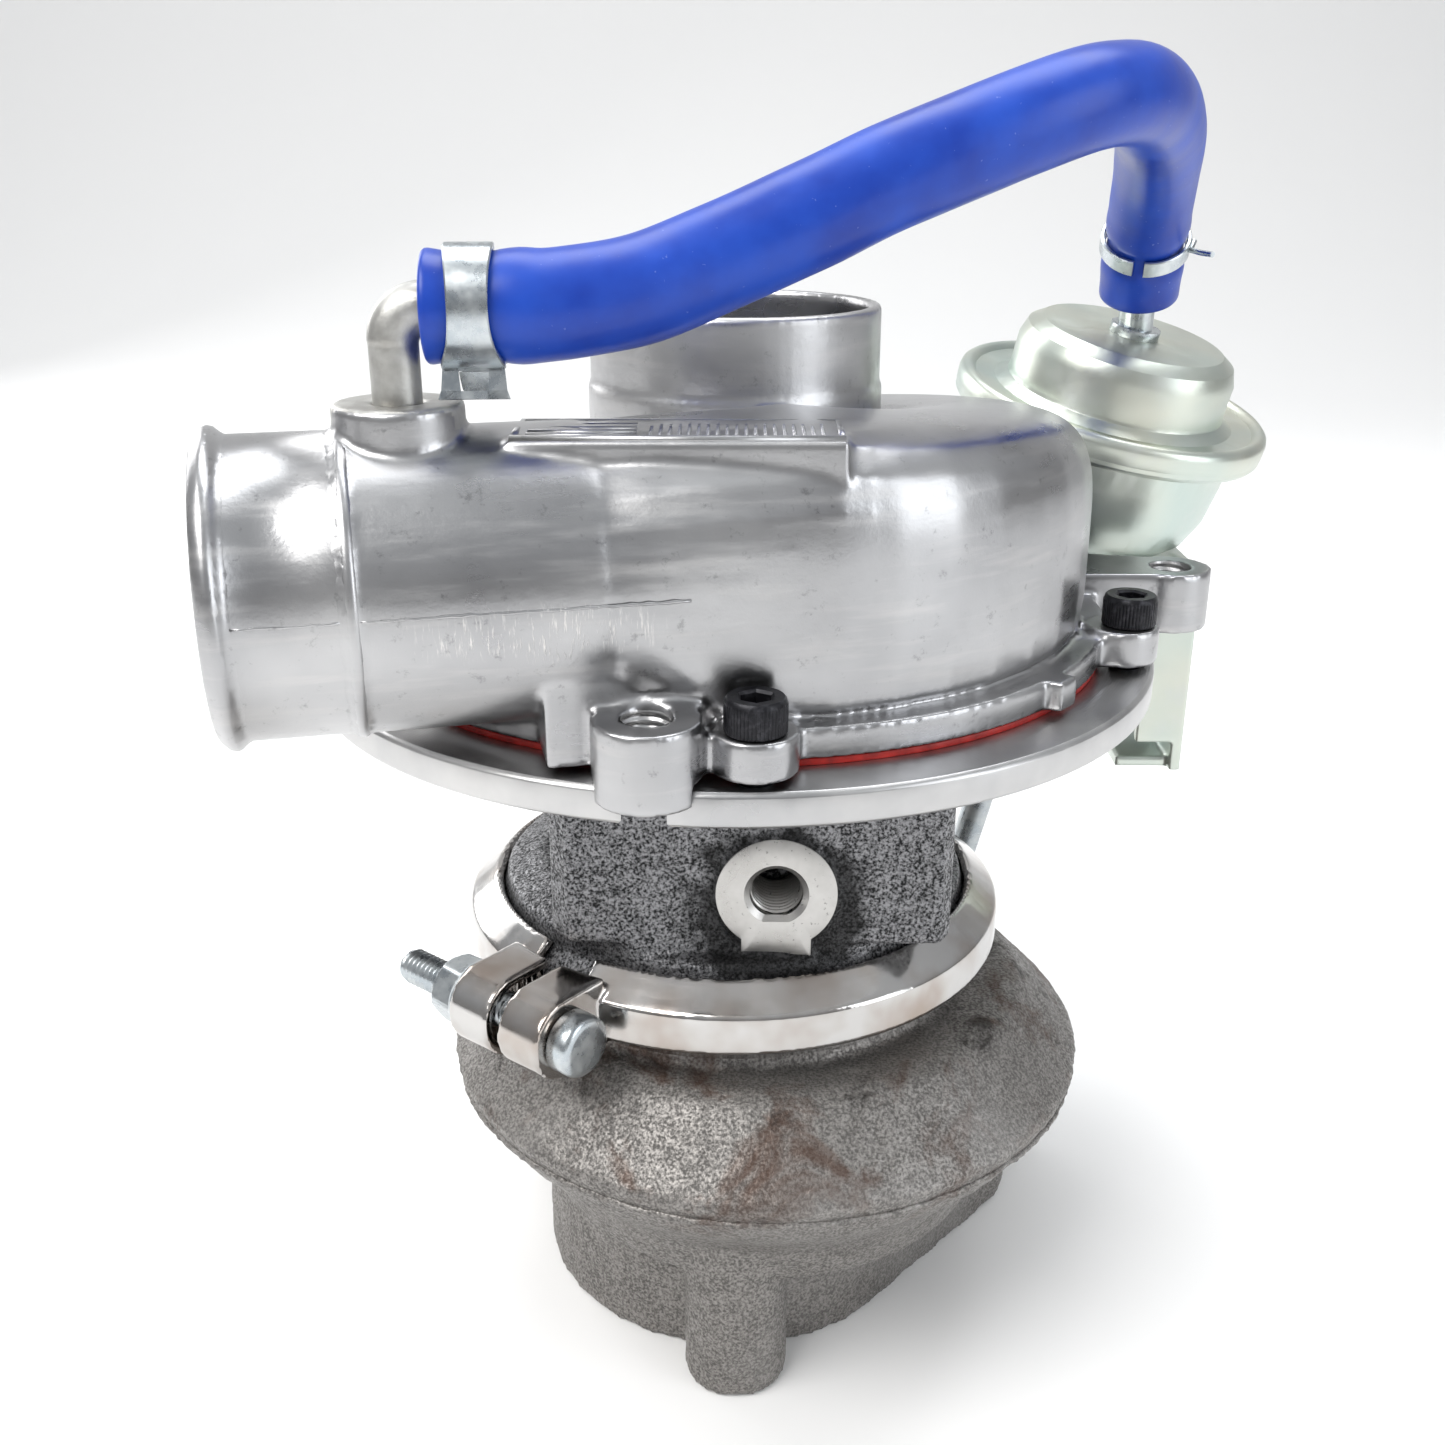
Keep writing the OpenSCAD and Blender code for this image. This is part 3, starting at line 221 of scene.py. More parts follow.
def speckled_iron(name, dark, light, grain, rough_low, rough_high, depth, metallic=0.75):
    """Sand-cast iron: a coarse salt-and-pepper grain."""
    s = Shader(name, metallic=metallic)
    fine = s.noise(grain, 2, 0.65)
    coarse = s.noise(grain * 5, 4, 0.6)
    both = s.math("ADD", s.math("MULTIPLY", fine, 0.78), s.math("MULTIPLY", coarse, 0.22))
    colour = s.ramp(both, [(0.40, dark), (0.50, tuple((a + b) / 2 for a, b in zip(dark, light))),
                           (0.60, light)])
    rough = s.span(both, 0.4, 0.6, rough_high, rough_low)
    normal = s.bump(coarse, depth * 2)
    normal = s.bump(fine, depth, normal)
    return s, colour, rough, normal


def bearing_iron():
    """The bearing housing's dark grain, with soot round the oil inlet's pad."""
    s, colour, rough, normal = speckled_iron(
        "bearing_iron", (0.016, 0.016, 0.017), (0.27, 0.27, 0.28), 0.5, 0.3, 0.62, 0.14)
    gap = s.distance(s.coords, PAD_CENTRE * MM)
    ragged = s.math("ADD", gap, s.spread(s.noise(5, 3, 0.6), -0.002, 0.002))
    colour = s.mix(s.span(ragged, 0.0155, 0.0125, 0.0, 0.85), colour, (0.006, 0.006, 0.006))
    return s.finish(colour, rough, normal)


def turbine_iron():
    """The hot side: duller and browner, with rust, soot and pale dusty patches."""
    s, colour, rough, normal = speckled_iron(
        "turbine_iron", (0.125, 0.118, 0.112), (0.30, 0.285, 0.27), 0.5, 0.42, 0.66, 0.11, 0.7)
    patches = s.noise(17, 4, 0.65, distortion=0.6)
    soot = s.noise(11, 5, 0.7, distortion=0.8)
    dust = s.noise(26, 3, 0.5)
    upper = s.span(s.coordinates()[2], 0.034, 0.052, 0.0, 1.0)
    rust = s.math("MULTIPLY", s.span(patches, 0.54, 0.66, 0, 0.75), upper)
    colour = s.mix(rust, colour, (0.085, 0.045, 0.03))
    colour = s.mix(s.math("MULTIPLY", s.span(soot, 0.58, 0.70, 0, 0.8), upper), colour,
                   (0.022, 0.018, 0.016))
    colour = s.mix(s.span(dust, 0.55, 0.72, 0, 0.35), colour, (0.36, 0.35, 0.34))
    return s.finish(colour, rough, normal)


def machined_iron():
    """A milled pad on the casting: bright with small pores and stains."""
    s = Shader("machined_iron", metallic=1.0)
    pores = s.ramp(s.noise(0.8, 3, 0.7), [(0.30, 0.25), (0.37, 1.0)])
    marks = s.noise(1, 3, 0.6, s.stretched((2600, 2600, 160), (0, 0.8, 0)))
    clouds = s.noise(6, 3, 0.6)
    colour = s.mix(0.7, s.tones(clouds, (0.42, 0.41, 0.395), (0.56, 0.55, 0.535)), pores, "MULTIPLY")
    return s.finish(colour, s.spread(clouds, 0.26, 0.42), s.bump(marks, 0.012))


def polished_stainless():
    """Pressed stainless strip, polished, with brown heat tint in places."""
    s = Shader("polished_stainless", metallic=1.0)
    tint = s.noise(14, 3, 0.5)
    lines = s.noise(1, 3, 0.6, s.stretched((60, 60, 1400)))
    smears = s.noise(5, 4, 0.6)
    colour = s.mix(s.span(tint, 0.45, 0.68, 0, 0.75), (0.52, 0.51, 0.50), (0.30, 0.235, 0.19))
    rough = s.math("ADD", s.span(smears, 0.35, 0.7, 0.09, 0.2), s.span(lines, 0.5, 0.8, 0, 0.08))
    return s.finish(colour, rough, s.bump(s.noise(9, 2, 0.5), 0.05))


def actuator_zinc():
    """Passivated zinc on pressed steel: satin, with a faint green and yellow cast."""
    s = Shader("actuator_zinc", metallic=1.0)
    clouds = s.noise(8, 4, 0.6)
    colour = s.tones(s.noise(30, 3, 0.5), (0.50, 0.575, 0.54), (0.62, 0.63, 0.55), 0.35, 0.65)
    colour = s.mix(s.span(clouds, 0.55, 0.75, 0, 0.5), colour, (0.62, 0.64, 0.62))
    return s.finish(colour, s.spread(clouds, 0.3, 0.42), s.bump(s.noise(0.5, 2, 0.5), 0.006))


def blue_silicone():
    """Moulded silicone hose: deep blue, semi-gloss, with faint bloom, dust and small scuffs."""
    s = Shader("blue_silicone", roughness=0.33)
    s.bsdf.inputs["Specular IOR Level"].default_value = 0.4
    bloom = s.noise(13, 4, 0.55)
    dust = s.ramp(s.noise(1.1, 2, 0.8), [(0.70, 0.0), (0.76, 1.0)])
    colour = s.tones(bloom, (0.003, 0.032, 0.30), (0.008, 0.062, 0.44), 0.35, 0.7)
    colour = s.mix(s.math("MULTIPLY", dust, 0.35), colour, (0.25, 0.33, 0.65))
    return s.finish(colour, s.spread(bloom, 0.28, 0.42), s.bump(s.noise(11, 3, 0.5), 0.12))


def clouded(name, metallic, clouds, first, second, rough, band=(0.3, 0.7), relief=None, depth=0.0):
    """A material whose colour and roughness follow one noise. clouds and relief are noises as
    (size, detail); a depth without a relief lets the bumps follow the clouds."""
    s = Shader(name, metallic=metallic)
    value = s.noise(*clouds, 0.6)
    height = s.noise(*relief, 0.6) if relief else value
    return s.finish(s.tones(value, first, second, *band), s.spread(value, *rough),
                    s.bump(height, depth) if depth else None)


LOOKS = {
    "cast_aluminium": cast_aluminium(),
    "machined_aluminium": machined_aluminium(),
    "cast_iron": bearing_iron(),
    "turbine_iron": turbine_iron(),
    "stainless": polished_stainless(),
    "actuator_zinc": actuator_zinc(),
    "blue_silicone": blue_silicone(),
    "zinc_steel": clouded("zinc_steel", 1.0, (3, 4), (0.40, 0.44, 0.47), (0.58, 0.61, 0.62), (0.2, 0.38),
                          (0.35, 0.65), (0.7, 2), 0.012),
    "black_steel": clouded("black_oxide", 0.6, (1.2, 3), (0.012, 0.012, 0.015), (0.05, 0.05, 0.058),
                           (0.3, 0.45), (0.5, 0.75), depth=0.02),
    "bright_steel": clouded("bright_steel", 1.0, (4, 3), (0.52, 0.52, 0.53), (0.66, 0.66, 0.67),
                            (0.18, 0.3)),
    "turbine_alloy": clouded("turbine_alloy", 0.95, (5, 4), (0.26, 0.25, 0.24), (0.42, 0.40, 0.38),
                             (0.34, 0.5), relief=(0.6, 2), depth=0.03),
    "bronze": clouded("bronze", 1.0, (4, 3), (0.50, 0.31, 0.13), (0.66, 0.45, 0.22), (0.25, 0.38)),
    "red_seal": clouded("red_seal", 0.0, (2.4, 3), (0.50, 0.018, 0.012), (0.26, 0.012, 0.010), (0.36, 0.6),
                        (0.35, 0.7), depth=0.1),
    "rubber": clouded("rubber", 0.0, (3, 3), (0.014, 0.014, 0.015), (0.03, 0.03, 0.032), (0.55, 0.8)),
}
MACHINED_IRON = machined_iron()
# The nipple and its boss: a rougher, grey-brown casting skin
DULL = clouded("dull_aluminium", 0.9, (5, 4), (0.34, 0.33, 0.31), (0.55, 0.55, 0.53), (0.34, 0.5),
               relief=(0.5, 3), depth=0.04)
SLOT_OF = {p["node"]: p["material_slot"] for p in frame["record"]["subparts"]}
BODY_OF = {n: body for body, names in frame["record"]["behaviour"]["bodies"].items() for n in names}


# ---------- mesh helpers ----------


def new_object(name, data):
    piece = bpy.data.objects.new(name, data)
    bpy.context.scene.collection.objects.link(piece)
    return piece


def dress(mesh, materials):
    """Gives a mesh its materials."""
    mesh.materials.clear()
    for material in materials:
        mesh.materials.append(material)


def shade_smooth(mesh, sharp=None):
    """Smooth shading; edges sharper than so many degrees stay sharp."""
    mesh.polygons.foreach_set("use_smooth", [True] * len(mesh.polygons))
    if sharp:
        mesh.set_sharp_from_angle(angle=math.radians(sharp))


def add(name, mesh, slot, body, materials=None, replaced=()):
    """Puts a finished mesh in the scene, on its body, dressed in the given materials or else in its slot's
    material, and hides the CAD nodes it replaces.
    """
    piece = new_object(name, mesh)
    dress(mesh, materials or [LOOKS[slot]])
    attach(piece, body)
    if replaced:
        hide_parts(*replaced)
    return piece


def bake(piece):
    """Replaces a piece's mesh with what its modifiers make of it."""
    graph = bpy.context.evaluated_depsgraph_get()
    mesh = bpy.data.meshes.new_from_object(piece.evaluated_get(graph))
    piece.modifiers.clear()
    piece.data = mesh


def edit(mesh, change):
    work = bmesh.new()
    work.from_mesh(mesh)
    change(work)
    work.to_mesh(mesh)
    work.free()


def weld(work, gap):
    bmesh.ops.remove_doubles(work, verts=work.verts, dist=gap)


def welded_copy(node):
    """A copy of a CAD node's mesh with the seams between its faces closed."""
    mesh = frame["nodes"][node].data.copy()
    edit(mesh, lambda work: weld(work, 1e-6))
    return mesh


def roughen(mesh, grain, depth, where=lambda c: True):
    """Moves the mesh's points in and out by noise, where their places in millimetres allow it."""
    normals = [tuple(v.normal) for v in mesh.vertices]
    places = [v.co.copy() for v in mesh.vertices]
    moved = []
    for place, normal in zip(places, normals):
        if where(place / MM):
            amount = noise.fractal(place / (grain * MM), 0.8, 2.0, 3)
            place = place + Vector(normal) * (amount * depth * MM)
        moved.extend(place)
    mesh.vertices.foreach_set("co", moved)


def cast_piece(node, voxel, smoothing, materials=None, texture=None):
    """A CAD node as a casting or pressing: remeshed and smoothed, so that its edges are rounded
    and its joins have fillets. texture = (grain mm, depth mm) roughens it."""
    piece = add(node + "_skin", welded_copy(node), SLOT_OF[node], BODY_OF[node], materials, [node])
    remesh = piece.modifiers.new("remesh", "REMESH")
    remesh.mode = "VOXEL"
    remesh.voxel_size = voxel * MM
    smooth = piece.modifiers.new("smooth", "SMOOTH")
    smooth.factor = 0.5
    smooth.iterations = smoothing
    bpy.context.view_layer.update()
    bake(piece)
    mesh = piece.data
    dress(mesh, materials or [LOOKS[SLOT_OF[node]]])
    if texture:
        roughen(mesh, *texture)
    shade_smooth(mesh)
    mesh.update()
    return piece


def crisp_piece(node, bevel):
    """A CAD node as a turned, pressed or milled part: its own faces, with small bevels."""
    mesh = welded_copy(node)
    edit(mesh, lambda work: bmesh.ops.dissolve_limit(
        work, angle_limit=math.radians(0.4), verts=work.verts, edges=work.edges))
    piece = add(node + "_skin", mesh, SLOT_OF[node], BODY_OF[node], replaced=[node])
    shade_smooth(mesh)
    edge = piece.modifiers.new("bevel", "BEVEL")
    edge.width = bevel * MM
    edge.segments = 2
    edge.limit_method = "ANGLE"
    edge.angle_limit = math.radians(32)
    edge.harden_normals = True
    edge.use_clamp_overlap = True


class Builder:
    """Collects lofted rings into one mesh. Points are in millimetres."""

    def __init__(self):
        self.points = []
        self.faces = []
        self.tags = []

    def loft(self, rings, start=True, end=True, tag=0, flip=False):
        base, count = len(self.points), len(rings[0])
        for ring in rings:
            self.points.extend(ring)
        made = []
        for i in range(len(rings) - 1):
            for j in range(count):
                k = (j + 1) % count
                made.append((base + i * count + j, base + i * count + k,
                             base + (i + 1) * count + k, base + (i + 1) * count + j))
        if start:
            made.append(tuple(base + j for j in reversed(range(count))))
        if end:
            made.append(tuple(base + (len(rings) - 1) * count + j for j in range(count)))
        self.faces.extend(tuple(reversed(f)) if flip else f for f in made)
        self.tags.extend([tag] * len(made))

    def mesh(self, name, matrix=None):
        """matrix is in millimetres too."""
        mesh = bpy.data.meshes.new(name)
        where = matrix or Matrix.Identity(4)
        mesh.from_pydata([(where @ Vector(p)) * MM for p in self.points], [], self.faces)
        mesh.polygons.foreach_set("material_index", self.tags)
        edit(mesh, lambda work: weld(work, 2e-7))
        edit(mesh, lambda work: bmesh.ops.recalc_face_normals(work, faces=work.faces))
        return mesh


def put(builder, name, slot, body="casing", matrix=None, sharp=None, materials=None, replaced=()):
    """Makes a builder's rings into a piece; edges sharper than so many degrees stay sharp."""
    mesh = builder.mesh(name, matrix)
    shade_smooth(mesh, sharp)
    add(name, mesh, slot, body, materials, replaced)


def circle(radius, z, sides, shape=None):
    """A ring of points at height z; shape(angle) adds to the radius."""
    ring = []
    for j in range(sides):
        a = 2 * math.pi * j / sides
        r = radius + (shape(a) if shape else 0.0)
        ring.append((r * math.cos(a), r * math.sin(a), z))
    return ring


def lathe(builder, profile, sides=96):
    """Turns a profile of (radius, height) points about Z."""
    builder.loft([circle(r, z, sides) for r, z in profile], start=False, end=False)


def ridge(wide, high, foot):
    """The section of a flash line, as (across, up) points."""
    return (-wide, foot), (-wide * 0.4, high), (wide * 0.4, high), (wide, foot)


def along(origin, direction, side=None):
    """A matrix whose Z runs along direction from origin; side is roughly its X."""
    z = Vector(direction).normalized()
    hint = Vector(side) if side else (Vector((0, 0, 1)) if abs(z.z) < 0.9 else Vector((1, 0, 0)))
    y = z.cross(hint).normalized()
    x = y.cross(z)
    turn = Matrix((x, y, z)).transposed().to_4x4()
    return Matrix.Translation(Vector(origin)) @ turn


def catmull(points, steps):
    """A smooth curve through points."""
    out = []
    last = len(points) - 1
    for i in range(last):
        p = [Vector(points[max(0, min(last, i + k))]) for k in (-1, 0, 1, 2)]
        for n in range(steps):
            t = n / steps
            square = (2 * p[0] - 5 * p[1] + 4 * p[2] - p[3]) * t ** 2
            cube = (3 * p[1] - p[0] - 3 * p[2] + p[3]) * t ** 3
            out.append(0.5 * (2 * p[1] + (p[2] - p[0]) * t + square + cube))
    out.append(Vector(points[-1]))
    return out


def threaded(builder, minor, depth, pitch, z0, z1, sides=36, inside=False):
    """A screw thread between heights z0 and z1, with run-out at both ends."""
    steps = max(8, int(abs(z1 - z0) / pitch * 8))
    rings = []
    for i in range(steps + 1):
        z = z0 + (z1 - z0) * i / steps
        fade = min(1.0, (z - z0) / pitch, (z1 - z) / pitch)

        def crest(a, z=z, fade=fade):
            phase = (z / pitch - a / (2 * math.pi)) % 1.0
            height = 1 - abs(2 * phase - 1)
            return (-1 if inside else 1) * depth * height * max(0.0, fade)

        rings.append(circle(minor, z, sides, crest))
    builder.loft(rings, start=not inside, end=not inside, flip=inside)


# ---------- sizes taken from the frame ----------

def box_mm(node):
    low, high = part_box(node)
    return low / MM, high / MM


def mount(name):
    found = next(m for m in frame["record"]["mounts"] if m["name"] == name)
    return Vector(found["pos_m"]) / MM, Vector(found["axis"])


def joint_axis(name):
    joints = frame["record"]["behaviour"]["joints"]
    return Vector(next(j for j in joints if j["name"] == name)["axis"])


SCREW_TIP_Z = box_mm("cover_bolts")[0].z
CLAMP_ANGLE = math.radians(-128.5)
CLAMP_Z = (box_mm("clamp_nut")[0].z + box_mm("clamp_nut")[1].z) / 2
CLAMP_BOLT_R = 53.5
CLAMP_LUG = 9.8
COVER_SCREW_R = 65.0
COVER_SCREW_ANGLES = [math.radians(-87.5 + 72 * i) for i in range(5)]
BOSS_TOP = 129.0
LUG_TOP = 131.3
BRACKET_T = 2.2
BRACKET_SCREW = 2
OUTLET_POS, OUTLET_DIR = mount("compressor_outlet")
OUTLET_R = 20.3
OUTLET_STEP = 61.8
OUTLET_LEN = 80.6
OUTLET_MOUNT_T = 70.0
OIL_POS, OIL_DIR = mount("oil_inlet")
OIL_BORE_R = 4.2
PAD_FACE_Y = PAD_CENTRE.y
ROD_AXIS = joint_axis("rod_slide")
ACTUATOR_POS = Vector((70.8, 42, 153.3))
CRIMP_R = 29.2
TURBINE_AXIS = Vector((5.8, -4.2, 46))


# ---------- castings ----------


def on_scroll(c):
    """True on the scroll's plain skin: clear of the rim, the inlet, the outlet tube and the pad."""
    radius = math.hypot(c.x, c.y)
    tube_side = (c - OUTLET_POS).dot(OUTLET_DIR) > -OUTLET_MOUNT_T + 6 and c.y < -14
    by_pad = -33 < c.x < 18 and -60 < c.y < -39 and c.z > 155
    return c.z > 133.5 and radius > 31 and not tube_side and not by_pad


def smooth_where(piece, iterations, where):
    """Smooths the part of a mesh where its points' places in millimetres allow it."""
    group = piece.vertex_groups.new(name="soft")
    group.add([v.index for v in piece.data.vertices if where(v.co / MM)], 1.0, "REPLACE")
    soft = piece.modifiers.new("soft", "SMOOTH")
    soft.factor = 0.5
    soft.iterations = iterations
    soft.vertex_group = "soft"
    bake(piece)
    shade_smooth(piece.data)


def compressor_housing():
    skins = [LOOKS["cast_aluminium"], DULL]
    piece = cast_piece("compressor_housing", 0.6, 4, skins)
    smooth_where(piece, 45, on_scroll)
    dress(piece.data, skins)
    nipple_box = box_mm("outlet_nipple")
    boss_x = nipple_box[0].x + 3.35
    boss_y = (nipple_box[0].y + nipple_box[1].y) / 2
    for face in piece.data.polygons:
        c = face.center / MM
        if math.hypot(c.x - boss_x, c.y - boss_y) < 8.8 and c.z > OUTLET_POS.z + 19.5:
            face.material_index = 1


def bearing_housing():
    piece = cast_piece("bearing_housing", 0.55, 3, [LOOKS["cast_iron"], MACHINED_IRON])
    roughen(piece.data, 1.6, 0.09, lambda c: c.y > PAD_FACE_Y + 0.35 and 79 < c.z < 116)


def oil_pad():
    """The milled keyhole face round the oil inlet."""
    low = min(OIL_POS.z - 11.2, 80.0)
    rim, tab, corner = 9.5, 5.5, 0.5
    half_gap = math.asin(tab / rim)
    steps = 72
    outline = []
    for i in range(steps + 1):
        a = half_gap - math.pi / 2 + (2 * math.pi - 2 * half_gap) * i / steps
        outline.append((rim * math.cos(a), rim * math.sin(a)))
    foot = low - OIL_POS.z
    outline += [(-tab, foot + corner), (corner - tab, foot), (tab - corner, foot), (tab, foot + corner)]

    def ring(points, y):
        return [(OIL_POS.x + x, PAD_FACE_Y + y, OIL_POS.z + z) for x, z in points]

    def hole(radius):
        angles = [math.atan2(z, x) for x, z in outline]
        return [(radius * math.cos(a), radius * math.sin(a)) for a in angles]

    inset = [(x * 0.985, z * 0.985) for x, z in outline]
    builder = Builder()
    builder.loft([ring(outline, 0.5), ring(outline, -0.02), ring(inset, -0.1),
                  ring(hole(OIL_BORE_R + 0.9), -0.1), ring(hole(OIL_BORE_R), 0.8),
                  ring(hole(OIL_BORE_R), 1.2)], start=False, end=False)
    put(builder, "oil_pad_face", "cast_iron", sharp=30, materials=[MACHINED_IRON])


def turbine_housing():
    piece = cast_piece("turbine_housing", 0.9, 3, [LOOKS["turbine_iron"], MACHINED_IRON],
                       texture=(2.6, 0.16))
    face_pos, face_dir = mount("turbine_inlet_face")
    for face in piece.data.polygons:
        c = face.center / MM
        if abs((c - face_pos).dot(face_dir)) < 0.6 and face.normal.dot(face_dir) > 0.9:
            face.material_index = 1
        if c.z < 0.6 and face.normal.z < -0.9:
            face.material_index = 1
    return piece


def flash_line(housing):
    """The uneven ridge that the mould's joint left round the turbine scroll."""
    skin = BVHTree.FromPolygons([v.co for v in housing.data.vertices],
                                [p.vertices[:] for p in housing.data.polygons])
    draw = random.Random(21)
    builder = Builder()
    run, last = [], 0.0
    steps = 360
    for i in range(steps + 1):
        a = math.radians(i - 180)
        out = Vector((math.cos(a), math.sin(a), 0))
        hit = skin.ray_cast((TURBINE_AXIS + out * 120) * MM, -out)[0]
        at = hit / MM if hit else TURBINE_AXIS
        r = (at - TURBINE_AXIS).length
        high, wide = 0.4 + draw.uniform(0, 0.3), 0.65 + draw.uniform(-0.1, 0.2)
        lift = draw.uniform(-0.12, 0.12)
        if not 50 < r < 60 or (run and abs(r - last) > 0.5) or i == steps:
            if len(run) > 3:
                builder.loft(run)
            run = []
            continue
        run.append([at + out * up + Vector((0, 0, across + lift))
                    for across, up in ridge(wide, high, -0.15)])
        last = r
    put(builder, "turbine_flash_line", SLOT_OF["turbine_housing"], materials=[LOOKS["turbine_iron"]])


# ---------- details of the housing ----------


def outlet_details():
    """The tube's turned end with its ridge and bead, and the flash lines along the tube's sides."""
    builder = Builder()
    end, bore, r, step = OUTLET_LEN, 17.78, OUTLET_R, OUTLET_STEP
    land = r - 0.14
    lathe(builder, [(r - 0.05, step - 0.6), (r + 0.3, step - 0.3), (r + 0.52, step + 0.1),
                    (r + 0.52, step + 0.8), (r + 0.2, step + 1.2), (land, step + 1.4), (land, end - 3.7),
                    (r + 0.2, end - 3.3), (r + 0.9, end - 2.6), (r + 1.08, end - 1.9), (r + 0.9, end - 1.3),
                    (r + 0.2, end - 0.5), (r - 0.4, end - 0.1), (r - 1.1, end - 0.02),
                    (bore + 0.6, end - 0.02), (bore + 0.05, end - 0.4), (bore, end - 1.6),
                    (bore, end - 14)], 160)
    draw = random.Random(4)
    for side in (0, math.pi):
        for t0, t1, skin in ((20.0, step - 0.4, r - 0.06), (step + 1.6, end - 4, r - 0.26)):
            line = []
            steps = int((t1 - t0) / 1.1)
            for i in range(steps + 1):
                high = 0.16 + draw.uniform(0, 0.12)
                wide = 0.26 + draw.uniform(-0.05, 0.12)
                a = side + 0.02 + draw.uniform(-0.004, 0.004)
                line.append([((skin + up) * math.cos(a + across / skin),
                              (skin + up) * math.sin(a + across / skin), t0 + (t1 - t0) * i / steps)
                             for across, up in ridge(wide, high, -0.1)])
            builder.loft(line)
    foot = OUTLET_POS - OUTLET_DIR * OUTLET_MOUNT_T
    place = along(foot, OUTLET_DIR, Vector((0, 0, 1)).cross(OUTLET_DIR))
    put(builder, "outlet_ridges", "cast_aluminium", matrix=place)


def pad_relief():
    """A raised border, long ribs and a stippled field on the flat pad. It carries no lettering."""
    x0, x1, y0, y1, z = -29.3, 14.7, -56.6, -42.6, 165.4
    margin, edge = 0.4, 0.9
    builder = Builder()

    def bar(ax, ay, bx, by, high, slope=0.12):
        low = [(ax, ay, z - 0.4), (bx, ay, z - 0.4), (bx, by, z - 0.4), (ax, by, z - 0.4)]
        top = [(ax + slope, ay + slope, z + high), (bx - slope, ay + slope, z + high),
               (bx - slope, by - slope, z + high), (ax + slope, by - slope, z + high)]
        builder.loft([low, top])

    left, right, front, back = x0 + margin, x1 - margin, y0 + margin, y1 - margin
    bar(left, front, right, front + edge, 0.5)
    bar(left, back - edge, right, back, 0.5)
    bar(left, front + edge, left + edge, back - edge, 0.5)
    bar(right - edge, front + edge, right, back - edge, 0.5)
    rib_end = x0 + 16.5
    for i in range(4):
        y = y0 + 2.5 + i * 2.5
        bar(x0 + 2.2, y, rib_end, y + 0.9, 0.45)
    draw = random.Random(11)
    pitch, dot = 1.25, 0.85
    for i in range(int((x1 - 2.2 - rib_end - 1.4) / pitch)):
        for j in range(8):
            x = rib_end + 1.4 + i * pitch
            y = y0 + 2.1 + j * pitch
            bar(x, y, x + dot, y + dot, 0.3 + draw.uniform(0, 0.12), 0.25)
    put(builder, "pad_relief", "cast_aluminium")


def tapped_hole(name, centre, axis, radius, depth, pitch, slot, material):
    """A thread inside a tapped hole, from its mouth down to depth."""
    builder = Builder()
    threaded(builder, radius + 0.02, 0.5, pitch, 0, depth, sides=48, inside=True)
    mesh = builder.mesh(name, along(centre, -Vector(axis)))
    shade_smooth(mesh)
    mesh.flip_normals()
    add(name, mesh, slot, "casing", [material])


# ---------- screws, bolt and clips ----------


def hexagon(flats):
    """The radius of a hexagon at an angle, from its width across flats."""
    return lambda a: flats / 2 / math.cos((a + math.pi / 6) % (math.pi / 3) - math.pi / 6)


def socket_head(builder, centre, z, turn, radius=4.25, high=5.0, flats=4.0, shank=12.0):
    """A knurled socket-head screw standing on height z."""
    knurl = 48
    sides = 3 * knurl
    hole = hexagon(flats)

    def ring(r, height, shape=None):
        return [(centre[0] + x, centre[1] + y, zz) for x, y, zz in circle(r, z + height, sides, shape)]

    def flutes(a):
        return -0.16 * (0.5 + 0.5 * math.cos(knurl * a)) ** 2

    def socket(extra):
        return lambda a: hole(a + turn) + extra

    rings = [ring(radius - 0.5, 0), ring(radius - 0.12, 0.25), ring(radius, 0.4, flutes),
             ring(radius, high - 0.9, flutes), ring(radius - 0.1, high - 0.75),
             ring(radius - 0.22, high - 0.28), ring(radius - 0.5, high), ring(0, high, socket(0.4)),
             ring(0, high - 0.35, socket(0.0)), ring(0, high - 2.4, socket(-0.02)),
             ring(0.05, high - 2.9)]
    builder.loft(rings)
    builder.loft([ring(2.5, 0.1), ring(2.5, 0.5 - shank), ring(2.1, -shank)][::-1])


def cover_bolts():
    """The five socket-head screws on the rim; one of them also holds the bracket."""
    builder = Builder()
    for i, a in enumerate(COVER_SCREW_ANGLES):
        seat = BOSS_TOP + (BRACKET_T if i == BRACKET_SCREW else 0)
        centre = (COVER_SCREW_R * math.cos(a), COVER_SCREW_R * math.sin(a))
        socket_head(builder, centre, seat, turn=0.37 * i, shank=seat - SCREW_TIP_Z)
    put(builder, "cover_bolts_skin", "black_steel", sharp=40, replaced=["cover_bolts"])


def clamp_frame():
    """Z along the clamp's bolt, towards its tip; the origin is on the bolt between the lugs."""
    centre = (CLAMP_BOLT_R * math.cos(CLAMP_ANGLE), CLAMP_BOLT_R * math.sin(CLAMP_ANGLE), CLAMP_Z)
    tip = (math.sin(CLAMP_ANGLE), -math.cos(CLAMP_ANGLE), 0)
    return along(centre, tip)


def clamp_bolt():
    """A round head against one lug, a plain neck and a thread through the other lug."""
    builder = Builder()
    back = -CLAMP_LUG - 0.1
    head = [(2.6, back), (4.6, back), (5.0, back - 0.35), (5.0, back - 3.2), (4.75, back - 3.9),
            (4.2, back - 4.22), (3.4, back - 4.3), (0.2, back - 4.3)]
    builder.loft([circle(r, z, 64) for r, z in head])
    builder.loft([circle(2.85, back - 0.1, 36), circle(2.85, back + 3.2, 36)])
    threaded(builder, 2.45, 0.5, 1.0, back + 3.0, 26.6)
    builder.loft([circle(2.44, 26.0, 36), circle(1.9, 26.8, 36)])
    put(builder, "clamp_bolt_skin", "zinc_steel", matrix=clamp_frame(), sharp=50, replaced=["clamp_bolt"])


